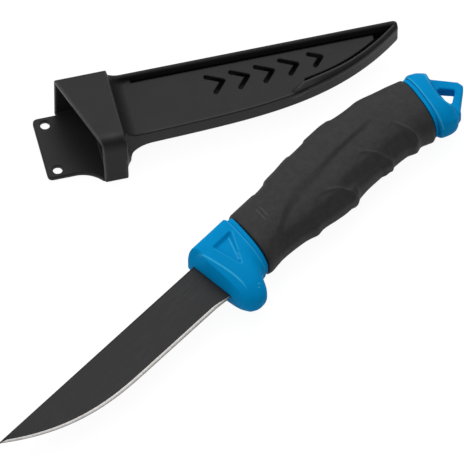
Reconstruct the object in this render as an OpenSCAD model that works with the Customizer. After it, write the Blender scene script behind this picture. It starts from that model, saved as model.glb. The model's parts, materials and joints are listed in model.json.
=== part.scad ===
// Fixed-blade fishing knife, laid down beside its moulded sheath.
// The sheath lies flat with its mouth towards -X and its tip towards +X.
// The knife lies in front of it, turned by knife_turn, on the flank of its handle.

/* [Blade] */
// Length of the blade, from its tip to the front of the bolster
blade_length = 102.4; // [85:0.1:125]
// Height of the blade at the bolster, from its back to its edge
blade_height = 17.9; // [15:0.1:18.4]
// Thickness of the steel along the back
blade_thickness = 2; // [1.6:0.1:2.6]
// Height of the ground strip along the cutting edge
edge_bevel = 1.3; // [0.8:0.1:2]
// Length of the edge that runs parallel to the back
straight_edge = 45; // [30:1:60]
// Length of the tang that the handle is moulded round
tang_length = 84; // [60:1:90]
// Height of the tang at the bolster
tang_height = 13; // [10:0.1:15]

/* [Bolster] */
// Length of the bolster, from its front face to the rubber
bolster_length = 19.8; // [17:0.1:24]
// Height of the bolster above the middle of the blade
bolster_rise = 12.3; // [11:0.1:13]
// Drop of the finger guard below the middle of the blade
guard_drop = 19.6; // [17:0.1:20.5]
// Thickness of the bolster, across the flanks of the blade
bolster_thickness = 17.6; // [15:0.1:18.6]
// Depth of the three-cornered recess in each flank of the bolster
recess_depth = 1; // [0.4:0.1:1.6]

/* [Handle] */
// Length of the rubber grip
grip_length = 86; // [80:1:100]
// Height of the grip's back above the middle of the blade, at its highest
grip_rise = 16.1; // [15:0.1:18]
// Depth of the grip's belly below the middle of the blade, at its lowest
grip_drop = 16; // [15:0.1:18]
// Thickness of the grip at its middle
grip_thickness = 21; // [19.6:0.1:24]
// Wall of the rubber over the hidden core
rubber_wall = 3.4; // [2:0.1:4]
// Length of the pommel, from the rubber to the end of its lanyard loop
pommel_length = 17; // [16:0.1:22]
// Height of the pommel where it meets the rubber
pommel_height = 23.1; // [21:0.1:25]
// Thickness of the pommel where it meets the rubber
pommel_thickness = 17.6; // [16:0.1:20]
// Thickness of the lanyard loop
loop_thickness = 5; // [3.5:0.1:7]

/* [Sheath collar] */
// Length of the collar along its back wall, from the mouth to the shoulder
collar_length = 19.4; // [17:0.1:24]
// Wall of the collar beside the bolster
collar_wall = 1.1; // [0.9:0.1:1.6]
// Wall of the collar over the bolster
collar_roof = 2; // [1.2:0.1:2.4]
// Play of the bolster in the collar, on each side
collar_play = 0.3; // [0.2:0.05:0.5]
// Angle of the slanted mouth
mouth_angle = 18.7; // [5:0.1:20]
// Reach of the mounting tab beyond the mouth
tab_reach = 8.6; // [8:0.1:14]
// Width of the mounting tab
tab_width = 26.1; // [25:0.1:28]
// Thickness of the mounting tab and of the collar's floor
tab_thickness = 1.8; // [1.4:0.1:2.6]
// Diameter of the two holes in the tab
tab_hole = 4; // [2.6:0.1:4.4]
// Distance between the two holes in the tab
tab_hole_spacing = 20; // [16:0.1:20.5]

/* [Sheath case] */
// Length of the case beyond the point of the sheathed blade
tip_room = 12.3; // [11:0.1:25]
// Room in the case beside the cutting edge
edge_room = 1.85; // [1.7:0.05:4]
// Height of the case, without its raised rims
case_height = 6.8; // [6.6:0.1:9]
// Thickness of the case's face and floor
case_skin = 1.2; // [0.9:0.05:1.3]
// Thickness of the case's walls beside the blade
case_wall = 0.9; // [0.7:0.05:1.1]
// Height of the raised rims above the face
rim_height = 1.6; // [0.8:0.1:2.4]
// Width of the raised rim along the blade's back
rim_width = 1.5; // [1.2:0.1:2.2]
// Number of arrow-shaped slots in the face
arrow_count = 5; // [3:1:5]
// Distance between neighbouring arrows
arrow_pitch = 9.2; // [8:0.1:9.4]
// Width of the slots in the face
slot_width = 1.3; // [0.8:0.1:1.6]

/* [Layout] */
// Angle of the knife to the sheath
knife_turn = 33.9; // [25:0.1:45]
// Place of the bolster's front along the sheath, from the back of its mouth
knife_along = 36.9; // [25:0.1:50]
// Distance of the bolster's front from the back of the sheath
knife_across = 91.4; // [90:0.1:120]

/* [Hidden] */

// Every cut runs past the face that it opens by this much
overrun = 0.5;
// Gap between pieces that are moulded or pushed onto each other
fit_gap = 0.1;
// Gap that shows as a dark line at each end of the rubber
seam_gap = 0.3;
// Points on a ring of the handle, and steps on a rounded corner
ring_points = 32;
corner_steps = 6;
steel = "#37383a";
blue = "#0187c1";
rubber = "#2f3032";
plastic = "#3a3b3c";

// Squareness of a section: 2 is an ellipse, and more is boxier
bolster_squareness = 8;
guard_squareness = 3.5;
grip_squareness = 2.5;
// The flanks of the bolster draw in towards the finger guard by this share of their thickness, and
// by this power of the distance
guard_taper_share = 0.4;
guard_taper_power = 4;

// Returns the points of the outline `points` with each corner cut to an arc of its radius.
function rounded(points, radii) = [
    for (i = [0 : len(points) - 1])
        let (
            count = len(points),
            here = points[i],
            before = points[(i + count - 1) % count] - here,
            after = points[(i + 1) % count] - here,
            to_before = before / norm(before),
            to_after = after / norm(after),
            half = acos(to_before * to_after) / 2,
            radius = is_list(radii) ? radii[i] : radii,
            set_back = radius / tan(half),
            middle = here + (to_before + to_after) / norm(to_before + to_after) * radius / sin(half),
            first = here + to_before * set_back - middle,
            last = here + to_after * set_back - middle,
            side = sign(first[0] * last[1] - first[1] * last[0])
        )
        for (step = [0 : radius > 0 ? corner_steps : 0])
            let (angle = side * (180 - 2 * half) * step / corner_steps)
            radius > 0
                ? middle + [
                    first[0] * cos(angle) - first[1] * sin(angle),
                    first[0] * sin(angle) + first[1] * cos(angle)
                ]
                : here
];

// Returns one ring of a handle section: it spans `low` to `high` in Y, leans by `lean` of X for
// each unit of Y, and has the half thickness `half` in Z. The belly side can have a squareness of
// its own, and a thickness that tapers.
function ring(x, lean, low, high, half, back_squareness, belly_squareness, taper_share = 0) = [
    for (i = [0 : ring_points - 1])
        let (
            angle = 360 * i / ring_points,
            squareness = cos(angle) > 0 ? back_squareness : belly_squareness,
            across = sign(cos(angle)) * pow(abs(cos(angle)), 2 / squareness),
            up = sign(sin(angle)) * pow(abs(sin(angle)), 2 / squareness),
            y = (high + low) / 2 + (high - low) / 2 * across,
            depth_share = (high - y) / (high - low)
        )
        [x + lean * y, y, half * up * (1 - taper_share * pow(depth_share, guard_taper_power))]
];

// Joins rings of equal count into one closed solid.
module loft(rings) {
    count = len(rings[0]);
    last = len(rings) - 1;
    points = [for (one = rings) each one];
    sides = [
        for (k = [0 : last - 1])
            for (i = [0 : count - 1])
                let (a = k * count + i, b = k * count + (i + 1) % count)
                each [[a, b + count, b], [a, a + count, b + count]]
    ];
    ends = [
        [for (i = [0 : count - 1]) i],
        [for (i = [count - 1 : -1 : 0]) last * count + i]
    ];
    polyhedron(points = points, faces = concat(sides, ends), convexity = 6);
}

// Blade
// The belly rises from the straight edge to the tip by this power of the distance
belly_power = 2.55;
// Thickness at the top of the ground strip, and at the cutting edge, of the back's thickness
grind_share = 0.42;
edge_share = 0.06;
// Thickness at the tip, of the thickness at the bolster
tip_share = 0.6;
// Height of the blade where the point is cut blunt
point_height = 0.4;
blade_steps = 28;
// The stations of the blade crowd towards its point by this power
point_crowding = 1.4;
// Two rows of holes that the moulded core flows through, of the tang's length
tang_hole = 5;
tang_hole_shares = [0.3, 0.72];
// Height of the tang's end, of its height at the bolster, and the corners of that end, of its height
tang_end_share = 0.62;
tang_corner_share = 0.25;

back_y = blade_height / 2;

function edge_rise(x) =
    let (curved = max(0, (x - straight_edge) / (blade_length - straight_edge)))
    blade_height * pow(curved, belly_power);
function edge_y(x) = min(back_y - point_height, -back_y + edge_rise(x));
function blade_section(x, at_x) =
    let (
        share = x / blade_length,
        half = blade_thickness / 2 * (1 - (1 - tip_share) * share),
        edge = edge_y(x),
        strip = min(edge_bevel, (back_y - edge) / 2)
    )
    [
        [at_x, back_y, half],
        [at_x, edge + strip, half * grind_share],
        [at_x, edge, half * edge_share],
        [at_x, edge, -half * edge_share],
        [at_x, edge + strip, -half * grind_share],
        [at_x, back_y, -half]
    ];

// Outline of the tang, grown by `gap` for the slot that it sits in
module tang_outline(gap) {
    end_height = tang_height * tang_end_share;
    corner = end_height * tang_corner_share;
    polygon(rounded(
        [
            [-overrun, -tang_height / 2 - gap],
            [tang_length + gap, -end_height / 2 - gap],
            [tang_length + gap, end_height / 2 + gap],
            [-overrun, tang_height / 2 + gap]
        ],
        [0, corner, corner, 0]
    ));
}

module tang() {
    difference() {
        translate([0, 0, -blade_thickness / 2])
            linear_extrude(blade_thickness)
                tang_outline(0);
        for (share = tang_hole_shares)
            translate([tang_length * share, 0, -blade_thickness])
                cylinder(h = 2 * blade_thickness, d = tang_hole, $fn = 48);
    }
}

module blade_shape() {
    rings = [
        for (i = [0 : blade_steps])
            let (x = blade_length * (1 - pow(1 - i / blade_steps, point_crowding)))
            blade_section(x, -x)
    ];
    loft([for (i = [blade_steps : -1 : 0]) rings[i]]);
    tang();
}

// Bolster
// Stations of the bolster: place along it, rise, drop and thickness, of its own sizes
bolster_shares = [
    [0, 0.95, 0.78, 0.76],
    [0.03, 0.97, 0.85, 0.83],
    [0.065, 0.985, 0.895, 0.88],
    [0.11, 0.995, 0.935, 0.93],
    [0.165, 1, 0.965, 0.98],
    [0.21, 1, 0.985, 1],
    [0.3, 1, 1, 1],
    [0.4, 1, 0.995, 1],
    [0.5, 1, 0.955, 1],
    [0.6, 1, 0.855, 1],
    [0.68, 1, 0.72, 1],
    [0.75, 1, 0.63, 1],
    [0.82, 1, 0.595, 1],
    [0.9, 1, 0.585, 1],
    [0.91, 0.97, 0.565, 0.96],
    [0.98, 0.965, 0.56, 0.955],
    [1, 0.93, 0.54, 0.91]
];
// Lean of the rear face, of X for each unit of Y
bolster_lean = 0.165;
// Corners of the recess: place along the bolster, and place across of its rise
recess_shares = [[0.36, 0.52], [0.82, 0.51], [0.455, -0.5]];
recess_corner = 0.8;

// Grip
grip_front = bolster_length + seam_gap;
grip_end = grip_front + grip_length;
// Profile of the back and of the belly: place along the grip, and height of its own size
grip_back_shares = [
    [0, 0.79], [0.02, 0.839], [0.143, 0.839], [0.158, 0.82], [0.221, 0.857], [0.233, 0.9], [0.3, 0.931],
    [0.376, 0.971], [0.391, 0.949], [0.477, 0.967], [0.492, 1], [0.56, 1], [0.616, 0.974], [0.638, 0.925],
    [0.738, 0.857], [0.765, 0.851], [0.86, 0.722], [0.978, 0.538], [1, 0.47]
];
grip_belly_shares = [
    [0, 0.69], [0.02, 0.72], [0.092, 0.692], [0.21, 0.73], [0.247, 0.768], [0.29, 0.825], [0.32, 0.806],
    [0.392, 0.856], [0.452, 0.894], [0.518, 0.913], [0.55, 0.837], [0.626, 0.806], [0.685, 0.812],
    [0.71, 0.856], [0.746, 0.875], [0.762, 0.831], [0.84, 0.856], [0.885, 0.945], [0.923, 0.894],
    [0.962, 0.958], [0.985, 1], [1, 0.96]
];
grip_half_shares = [
    [0, 0.83], [0.03, 0.87], [0.15, 0.92], [0.35, 0.98], [0.5, 1], [0.7, 0.99], [0.9, 0.93], [0.98, 0.89],
    [1, 0.86]
];
grip_rings = 46;

// Pommel
// Lean of the faces where the rubber, the flange and the pommel meet
pommel_lean = 0.26;
// Middle of the pommel's section, below the middle of the blade, of its height
pommel_drop_share = 0.182;
flange_length = 1.5;
groove_length = 0.4;
groove_depth = 0.4;
// Stations of the pommel's cap: place along its body, back, belly and thickness, of its own sizes
cap_shares = [
    [0, 1.03, 1.12, 0.98], [0.15, 1.045, 1.17, 1], [0.32, 1, 1.18, 1], [0.55, 0.92, 1.18, 0.97],
    [0.72, 0.82, 1.12, 0.88], [0.84, 0.74, 1.02, 0.7], [0.93, 0.66, 0.9, 0.5], [1, 0.6, 0.8, 0.3]
];
// Length of the cap's body, of the pommel's length
cap_share = 0.48;
// Corners of the lanyard loop: place along the pommel, and place across of its height
loop_shares = [
    [0.27, 0.2], [0.476, 0.14], [0.582, 0.055], [0.975, -0.325], [0.985, -0.43], [0.52, -0.65], [0.4, -0.73],
    [0.24, -0.76], [0.1, -0.69]
];
loop_corners = [0, 1, 1, 1.4, 1.4, 1.5, 1, 1, 0];
// Corners of the three-cornered eye for a lanyard, in the same way
eye_shares = [[0.506, -0.126], [0.776, -0.377], [0.453, -0.52]];
eye_corner = 0.9;
// Spigot that holds the cap on the core, of the pommel's own sizes
spigot_share = 0.5;
spigot_reach = 4;

pommel_middle = -pommel_height * pommel_drop_share;
pommel_foot = grip_end + seam_gap;
cap_foot = pommel_foot + flange_length;
cap_length = pommel_length * cap_share;

function lean_at(share) = bolster_lean + (pommel_lean - bolster_lean) * share;

// Ring of the grip at a share of its length, drawn in by `inset`
function grip_ring(share, inset) = ring(
    grip_front + grip_length * share,
    lean_at(share),
    -grip_drop * lookup(share, grip_belly_shares) + inset,
    grip_rise * lookup(share, grip_back_shares) - inset,
    grip_thickness / 2 * lookup(share, grip_half_shares) - inset,
    grip_squareness,
    grip_squareness
);

// The hidden core follows the grip's profile, smoothed to a few stations
core_station_shares = [0, 0.2, 0.4, 0.6, 0.8, 0.9, 1];

module core_shape(gap) {
    inset = rubber_wall - gap;
    front = [for (p = grip_ring(0, inset)) p - [seam_gap + overrun, 0, 0]];
    rear = [for (p = grip_ring(1, inset)) p + [seam_gap + overrun, 0, 0]];
    loft(concat(
        [front],
        [for (share = core_station_shares) grip_ring(share, inset)],
        [rear]
    ));
}

module grip_shape() {
    loft([for (i = [0 : grip_rings]) grip_ring(i / grip_rings, 0)]);
}

// Ring of the pommel, drawn in by `inset`, with its back, belly and thickness scaled
function pommel_ring(x, inset, back = 1, belly = 1, thick = 1) = ring(
    x,
    pommel_lean,
    pommel_middle - pommel_height / 2 * belly + inset,
    pommel_middle + pommel_height / 2 * back - inset,
    pommel_thickness / 2 * thick - inset,
    grip_squareness,
    grip_squareness
);

module bolster() {
    loft([
        for (s = bolster_shares)
            ring(
                bolster_length * s[0],
                bolster_lean * s[0],
                -guard_drop * s[2],
                bolster_rise * s[1],
                bolster_thickness / 2 * s[3],
                bolster_squareness,
                guard_squareness,
                guard_taper_share
            )
    ]);
}

module recess() {
    corners = [for (s = recess_shares) [bolster_length * s[0], bolster_rise * s[1]]];
    for (side = [0, 1])
        mirror([0, 0, side])
            translate([0, 0, bolster_thickness / 2 - recess_depth])
                linear_extrude(recess_depth + overrun)
                    polygon(rounded(corners, recess_corner));
}

module flange() {
    loft([
        pommel_ring(pommel_foot, seam_gap),
        pommel_ring(pommel_foot + seam_gap, 0),
        pommel_ring(cap_foot - seam_gap, 0),
        pommel_ring(cap_foot, seam_gap)
    ]);
}

module spigot(gap) {
    inset = pommel_thickness / 2 * (1 - spigot_share) - gap;
    loft([
        pommel_ring(cap_foot - overrun, inset),
        pommel_ring(cap_foot + spigot_reach + gap, inset)
    ]);
}

module tang_slot() {
    translate([0, 0, -blade_thickness / 2 - fit_gap])
        linear_extrude(blade_thickness + 2 * fit_gap)
            tang_outline(fit_gap);
}

module handle_core_shape() {
    difference() {
        union() {
            bolster();
            core_shape(0);
            flange();
            spigot(0);
        }
        recess();
        tang_slot();
    }
}

module grip_sleeve_shape() {
    difference() {
        grip_shape();
        core_shape(fit_gap);
    }
}

function pommel_outline(shares, radii) = rounded(
    [for (s = shares) [pommel_foot + pommel_length * s[0], pommel_height * s[1]]],
    radii
);

module loop_plate() {
    translate([0, 0, -loop_thickness / 2])
        linear_extrude(loop_thickness)
            polygon(pommel_outline(loop_shares, loop_corners));
}

module eye() {
    translate([0, 0, -pommel_thickness])
        linear_extrude(2 * pommel_thickness)
            polygon(pommel_outline(eye_shares, eye_corner));
}

module pommel_cap_shape() {
    groove_end = cap_foot + groove_length;
    difference() {
        union() {
            loft([pommel_ring(cap_foot + fit_gap, groove_depth), pommel_ring(groove_end + overrun, groove_depth)]);
            loft([
                for (s = cap_shares)
                    pommel_ring(groove_end + cap_length * s[0], 0, s[1], s[2], s[3])
            ]);
            loop_plate();
        }
        spigot(fit_gap);
        eye();
    }
}

// Sheath
// The back of the sheath is at Y = 0, and the knife's edge side faces -Y.
// The slanted mouth leaves the deepest part of the guard outside, so the collar holds this share of it.
guard_held_share = 0.9;
cavity_width = bolster_rise + guard_drop * guard_held_share + 2 * collar_play;
cavity_height = bolster_thickness + 2 * collar_play;
collar_width = cavity_width + 2 * collar_wall;
collar_height = tab_thickness + cavity_height + collar_roof;
// Middle of the sheathed blade
seat_y = -collar_wall - collar_play - bolster_rise;
seat_z = tab_thickness + cavity_height / 2;
// Wall that the bolster's front rests on, before the shoulder
stop_wall = 7;
stop_x = collar_length - stop_wall;
// The tip of the sheathed blade sets the sheath's length, and its edge sets the case's width.
sheath_length = stop_x + blade_length + tip_room;
case_width = -seat_y + blade_height / 2 + edge_room + case_wall;
// The front wall of the collar slopes by this much over its height
collar_draft = 2;
collar_corner_radii = [0.8, 1, 3.2, 0.8];
// Corner of the tab, and the hollow curve between the tab and the collar
tab_corner = 1.8;
tab_edge = 1.9;
tab_hole_set_back = 4.3;
tab_sweep = 60;
// Reach of the hollow shoulder between the collar and the case, above and beside the case
shoulder_reach = 4.8;
shoulder_sweep = 9.6;
// Bump on the back wall that clicks behind the bolster
nub_diameter = 2;
nub_reach = 0.3;
// The front of the case narrows by case_taper, and then by a power of the distance
case_taper = 3;
case_power = 3.75;
case_steps = 30;
case_start = collar_length + shoulder_sweep;
tip_corner = 1.6;
tip_width = 2.2;
tip_round_share = 0.8;
// Rim and slot on the front of the case: where they start, of the sheath's length, and how far the
// slot ends before the tip
front_rim_share = 0.664;
front_slot_share = 0.703;
front_rim_width = 3.4;
front_slot_width = 0.9;
front_slot_set_back = 7.6;
// Slot along the back of the case, and how far it stays from the collar and from the tip
back_slot_width = 1.3;
back_slot_margin = 8.6;
back_slot_set_back = 5.6;
// Arrows: distance of the first one from the collar, lean, and half of the angle between the arms
arrow_margin = 41.2;
arrow_lean = 11.8;
arrow_half_angle = 38;
// Length of an arrow's two arms, and what is left of them on each arrow counted from the collar
arrow_back_arm = 6.4;
arrow_front_arm = 5.7;
arrow_end_share = 0.46;
arrow_back_shares = [[3, 1], [4, 0.72]];
arrow_front_shares = [[1, 1], [3, 0.85], [4, 0.76]];
// Place of an arrow's apex across the case, of the case's width there
arrow_place_share = 0.42;
arrow_place_limit = 9.6;

case_bottom = seat_z - case_height / 2;
case_top = seat_z + case_height / 2;

function case_front(x) =
    let (share = max(0, (x - case_start) / (sheath_length - case_start)))
    -case_width + case_taper * share + (case_width - case_taper - tip_width) * pow(share, case_power);
// Point on the front of the case, moved in by `inset` square to the wall
function case_point(x, inset) =
    let (
        slope = (case_front(x + overrun) - case_front(x - overrun)) / (2 * overrun),
        size = norm([1, slope])
    )
    [x - inset * slope / size, case_front(x) + inset / size];
function case_curve(from, to, inset) = [
    for (i = [0 : case_steps])
        case_point(from + (to - from) * i / case_steps, inset)
];
// Strip that follows the front of the case, between two insets
function case_strip(from, to, outer, inner) = concat(
    case_curve(from, to, outer),
    [for (i = [case_steps : -1 : 0]) case_curve(from, to, inner)[i]]
);

module along_x(from, to) {
    translate([from, 0, 0])
        rotate([90, 0, 90])
            linear_extrude(to - from)
                children();
}

module above(low, high) {
    translate([0, 0, low])
        linear_extrude(high - low)
            children();
}

// Section of the collar, seen along the sheath
module collar_section() {
    polygon(rounded(
        [
            [0, 0],
            [0, collar_height],
            [-collar_width + collar_draft / 2, collar_height],
            [-collar_width - collar_draft / 2, 0]
        ],
        collar_corner_radii
    ));
}

module cavity_section() {
    floor_z = tab_thickness;
    roof_z = tab_thickness + cavity_height;
    drift = collar_draft / 2 * (cavity_height / collar_height);
    polygon([
        [-collar_wall, floor_z],
        [-collar_wall, roof_z],
        [-collar_wall - cavity_width + drift, roof_z],
        [-collar_wall - cavity_width - drift, floor_z]
    ]);
}

module collar() {
    front = -collar_width - collar_draft / 2;
    intersection() {
        along_x(0, collar_length)
            collar_section();
        above(0, collar_height)
            polygon([
                [0, 0],
                [collar_length, 0],
                [collar_length, front],
                [-front * tan(mouth_angle), front]
            ]);
    }
}

module tab() {
    front = -tab_edge - tab_width;
    depth = -front - collar_width - collar_draft / 2;
    sweep_radius = -depth / (1 - cos(tab_sweep));
    sweep_end = (collar_width + collar_draft / 2) * tan(mouth_angle);
    back = [[-tab_reach, -tab_edge], [-tab_reach, front], [collar_length, front], [collar_length, -tab_edge]];
    difference() {
        above(0, tab_thickness) {
            polygon(rounded(back, [tab_corner, tab_corner, 0, 0]));
            polygon(concat(
                [[collar_length, front + overrun], [sweep_end - sweep_radius * sin(tab_sweep), front + overrun]],
                [
                    for (step = [0 : 2 * corner_steps])
                        let (angle = tab_sweep * step / (2 * corner_steps))
                        [
                            sweep_end - sweep_radius * (sin(tab_sweep) - sin(angle)),
                            front - sweep_radius * (1 - cos(angle))
                        ]
                ],
                [[collar_length, front + depth]]
            ));
        }
        tab_holes();
    }
}

module tab_holes() {
    middle = -tab_edge - tab_width / 2;
    for (side = [-1, 1])
        translate([-tab_hole_set_back, middle + side * tab_hole_spacing / 2, -overrun])
            cylinder(h = tab_thickness + 2 * overrun, d = tab_hole, $fn = 64);
}

// Hollow curve from the collar's end down to the case
module shoulder() {
    length = collar_length + shoulder_sweep;
    end = collar_length + shoulder_reach;
    front = -collar_width - collar_draft / 2;
    drop = collar_height - case_top;
    intersection() {
        along_x(stop_x, length)
            collar_section();
        rotate([90, 0, 0])
            linear_extrude(2 * collar_width)
                polygon(concat(
                    [[stop_x, 0], [stop_x, collar_height]],
                    [
                        for (step = [0 : 2 * corner_steps])
                            let (angle = 90 * step / (2 * corner_steps))
                            [end - shoulder_reach * cos(angle), collar_height - drop * sin(angle)]
                    ],
                    [[length, case_top], [length, case_bottom]],
                    [
                        for (step = [2 * corner_steps : -1 : 0])
                            let (angle = 90 * step / (2 * corner_steps))
                            [end - shoulder_reach * cos(angle), case_bottom * sin(angle)]
                    ]
                ));
        above(0, collar_height)
            polygon(concat(
                [[length, 0], [stop_x, 0], [stop_x, front]],
                [
                    for (step = [0 : 2 * corner_steps])
                        let (angle = 90 * step / (2 * corner_steps))
                        [length - shoulder_sweep * cos(angle), front - (front + case_width) * sin(angle)]
                ]
            ));
    }
}

module case_outline() {
    polygon(concat(
        [[stop_x, 0], [stop_x, -case_width]],
        case_curve(case_start, sheath_length, 0),
        rounded([[sheath_length, -tip_width], [sheath_length, 0], [stop_x, 0]], [0, tip_width * tip_round_share, 0])
    ));
}

module channel() {
    back_room = -seat_y - back_y - case_wall;
    channel_end = sheath_length - tip_corner;
    above(case_bottom + case_skin, case_top - case_skin)
        polygon(concat(
            [[stop_x - overrun, -case_wall], [stop_x - overrun, -case_width + case_wall]],
            case_curve(case_start, channel_end, case_wall),
            [[channel_end - back_room, -case_wall]]
        ));
}

module rims() {
    above(case_top - overrun, case_top + rim_height)
        intersection() {
            case_outline();
            union() {
                translate([stop_x, -rim_width])
                    square([sheath_length, rim_width + overrun]);
                polygon(case_strip(
                    sheath_length * front_rim_share,
                    sheath_length,
                    -overrun,
                    front_rim_width
                ));
            }
        }
}

module slots() {
    back_slot_start = collar_length + back_slot_margin;
    back_slot_end = sheath_length - back_slot_set_back;
    above(case_top - case_skin - overrun, case_top + overrun) {
        polygon([
            [back_slot_start, -rim_width],
            [back_slot_start, -rim_width - back_slot_width],
            [back_slot_end, -rim_width - back_slot_width],
            [back_slot_end, -rim_width]
        ]);
        polygon(case_strip(
            sheath_length * front_slot_share,
            sheath_length - front_slot_set_back,
            front_rim_width,
            front_rim_width + front_slot_width
        ));
        arrows();
    }
}

module arrow_arm(length) {
    polygon(rounded(
        [
            [-slot_width / 2, -slot_width / 2],
            [length, -slot_width / 2],
            [length, slot_width / 2],
            [-slot_width / 2, slot_width / 2]
        ],
        slot_width * arrow_end_share
    ));
}

module arrows() {
    for (i = [0 : arrow_count - 1]) {
        x = collar_length + arrow_margin + arrow_pitch * i;
        across = min(arrow_place_limit, -case_front(x) * arrow_place_share);
        translate([x, -across])
            rotate(arrow_lean) {
                rotate(180 - arrow_half_angle)
                    arrow_arm(arrow_back_arm * lookup(i, arrow_back_shares));
                rotate(180 + arrow_half_angle)
                    arrow_arm(arrow_front_arm * lookup(i, arrow_front_shares));
            }
    }
}

module nub() {
    translate([nub_diameter / 2 - nub_reach, 0, seat_z])
        rotate([90, 0, 0])
            cylinder(h = collar_wall, d = nub_diameter, $fn = 48);
}

module sheath_shape() {
    difference() {
        union() {
            collar();
            tab();
            shoulder();
            above(case_bottom, case_top)
                case_outline();
            rims();
            nub();
        }
        along_x(-overrun, stop_x)
            cavity_section();
        channel();
        slots();
    }
}

// Layout
// The row's origin is under the middle of its box, on the surface that it lies on.
function on_table(points) = [
    for (p = points)
        [
            knife_along + p[0] * cos(knife_turn) - p[1] * sin(knife_turn),
            -knife_across + p[0] * sin(knife_turn) + p[1] * cos(knife_turn)
        ]
];
knife_reach = on_table(concat(
    [for (i = [0 : blade_steps]) [-blade_length * i / blade_steps, edge_y(blade_length * i / blade_steps)]],
    [[-blade_length, back_y]],
    pommel_outline(loop_shares, loop_corners)
));
row_left = min([for (p = knife_reach) p[0]]);
row_right = max([for (p = knife_reach) p[0]]);
row_front = min([for (p = knife_reach) p[1]]);
row_centre = [(row_left + row_right) / 2, row_front / 2];

module place_sheath() {
    translate([-row_centre[0], -row_centre[1], 0])
        children();
}

module place_knife() {
    place_sheath()
        translate([knife_along, -knife_across, grip_thickness / 2])
            rotate([0, 0, knife_turn])
                children();
}

module blade() {
    color(steel) place_knife() blade_shape();
}
module handle_core() {
    color(blue) place_knife() handle_core_shape();
}
module grip_sleeve() {
    color(rubber) place_knife() grip_sleeve_shape();
}
module pommel_cap() {
    color(blue) place_knife() pommel_cap_shape();
}
module sheath() {
    color(plastic) place_sheath() sheath_shape();
}

blade();
handle_core();
grip_sleeve();
pommel_cap();
sheath();
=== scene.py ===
"""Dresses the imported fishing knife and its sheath, and sets the studio that they are seen in.

Shapes are worked out in millimetres. The knife's own frame has its origin in the middle of the
bolster's front, x towards the pommel, y towards the back of the blade and z up. The sheath's own
frame has its origin at the back corner of its mouth, on the table, with x towards its tip.
"""
import json
import logging
import math
from dataclasses import dataclass, field
from enum import Enum
from functools import reduce
from typing import Callable

import bpy
import numpy as np
from mathutils import Matrix, Vector


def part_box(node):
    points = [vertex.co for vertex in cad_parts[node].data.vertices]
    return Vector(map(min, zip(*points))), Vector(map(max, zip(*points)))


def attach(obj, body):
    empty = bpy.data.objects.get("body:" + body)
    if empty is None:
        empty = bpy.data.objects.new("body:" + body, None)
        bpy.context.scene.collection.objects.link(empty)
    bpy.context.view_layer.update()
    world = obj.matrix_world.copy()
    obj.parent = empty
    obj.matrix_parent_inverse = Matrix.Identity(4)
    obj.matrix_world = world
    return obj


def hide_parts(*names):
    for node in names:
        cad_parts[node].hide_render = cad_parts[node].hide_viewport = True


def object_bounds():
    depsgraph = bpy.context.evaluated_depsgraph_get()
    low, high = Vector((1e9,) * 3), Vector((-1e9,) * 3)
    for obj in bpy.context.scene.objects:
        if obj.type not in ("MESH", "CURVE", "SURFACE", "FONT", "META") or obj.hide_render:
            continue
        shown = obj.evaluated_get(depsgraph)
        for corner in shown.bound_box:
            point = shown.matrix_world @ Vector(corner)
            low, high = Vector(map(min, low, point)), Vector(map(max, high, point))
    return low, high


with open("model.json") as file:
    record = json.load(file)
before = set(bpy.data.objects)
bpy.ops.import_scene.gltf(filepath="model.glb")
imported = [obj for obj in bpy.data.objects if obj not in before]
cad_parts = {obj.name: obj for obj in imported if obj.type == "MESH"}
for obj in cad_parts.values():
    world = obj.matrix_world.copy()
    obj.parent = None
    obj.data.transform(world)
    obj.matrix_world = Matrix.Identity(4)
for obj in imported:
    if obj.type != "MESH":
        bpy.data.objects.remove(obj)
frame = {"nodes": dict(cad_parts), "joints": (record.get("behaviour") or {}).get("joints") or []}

Array = np.ndarray
Field = Callable[[Array, Array, Array], Array]
Pair = tuple[float, float]
Triple = tuple[float, float, float]
Pairs = tuple[Pair, ...]
Box = tuple[Triple, Triple]
Runs = tuple[tuple[float, float, int], ...]

LOG = logging.getLogger("fishing_knife")
CAD_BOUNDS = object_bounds()
MM = 0.001
TURN = 2.0 * math.pi
# Name of the point value that pales a surface: mostly painted highlights along edges, with a few real marks
HIGHLIGHT_AND_WEAR = "highlight_and_wear"

# Sizes of the rings that close a tube, of its end ring's, and the corners of a scallop that form its crescent
CLOSING = (0.9, 0.7, 0.4, 0.15)
CRESCENT = slice(-7, -2)


# Numbers

def ease(share: Array) -> Array:
    """Returns the smooth step 3t^2 - 2t^3 of a share held between 0 and 1."""
    held = np.clip(share, 0.0, 1.0)
    return held * held * (3.0 - 2.0 * held)


def stroke(gap: Array, width: float) -> Array:
    """Returns the strength of a line: e to minus the square of the distance from it over its width."""
    return np.exp(-(gap / width) ** 2)


def common(*fields: Array) -> Array:
    """Returns the largest of several fields: what lies inside all of them."""
    return reduce(np.maximum, fields)


def soft_max(first: Array, second: Array, width: float) -> Array:
    """Returns the larger of two fields, with their corner rounded.

    The larger value, plus the square of the overlap of the two within the width, over four widths.

    Args:
        first: One field.
        second: The other field.
        width: Difference of the fields over which they blend.

    Returns:
        The blended field.
    """
    lap = np.maximum(width - np.abs(first - second), 0.0)
    return np.maximum(first, second) + lap * lap / (4.0 * width)


def soft_min(first: Array, second: Array, width: float) -> Array:
    """Returns the smaller of two fields, with their corner rounded over `width`."""
    return -soft_max(-first, -second, width)


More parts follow.
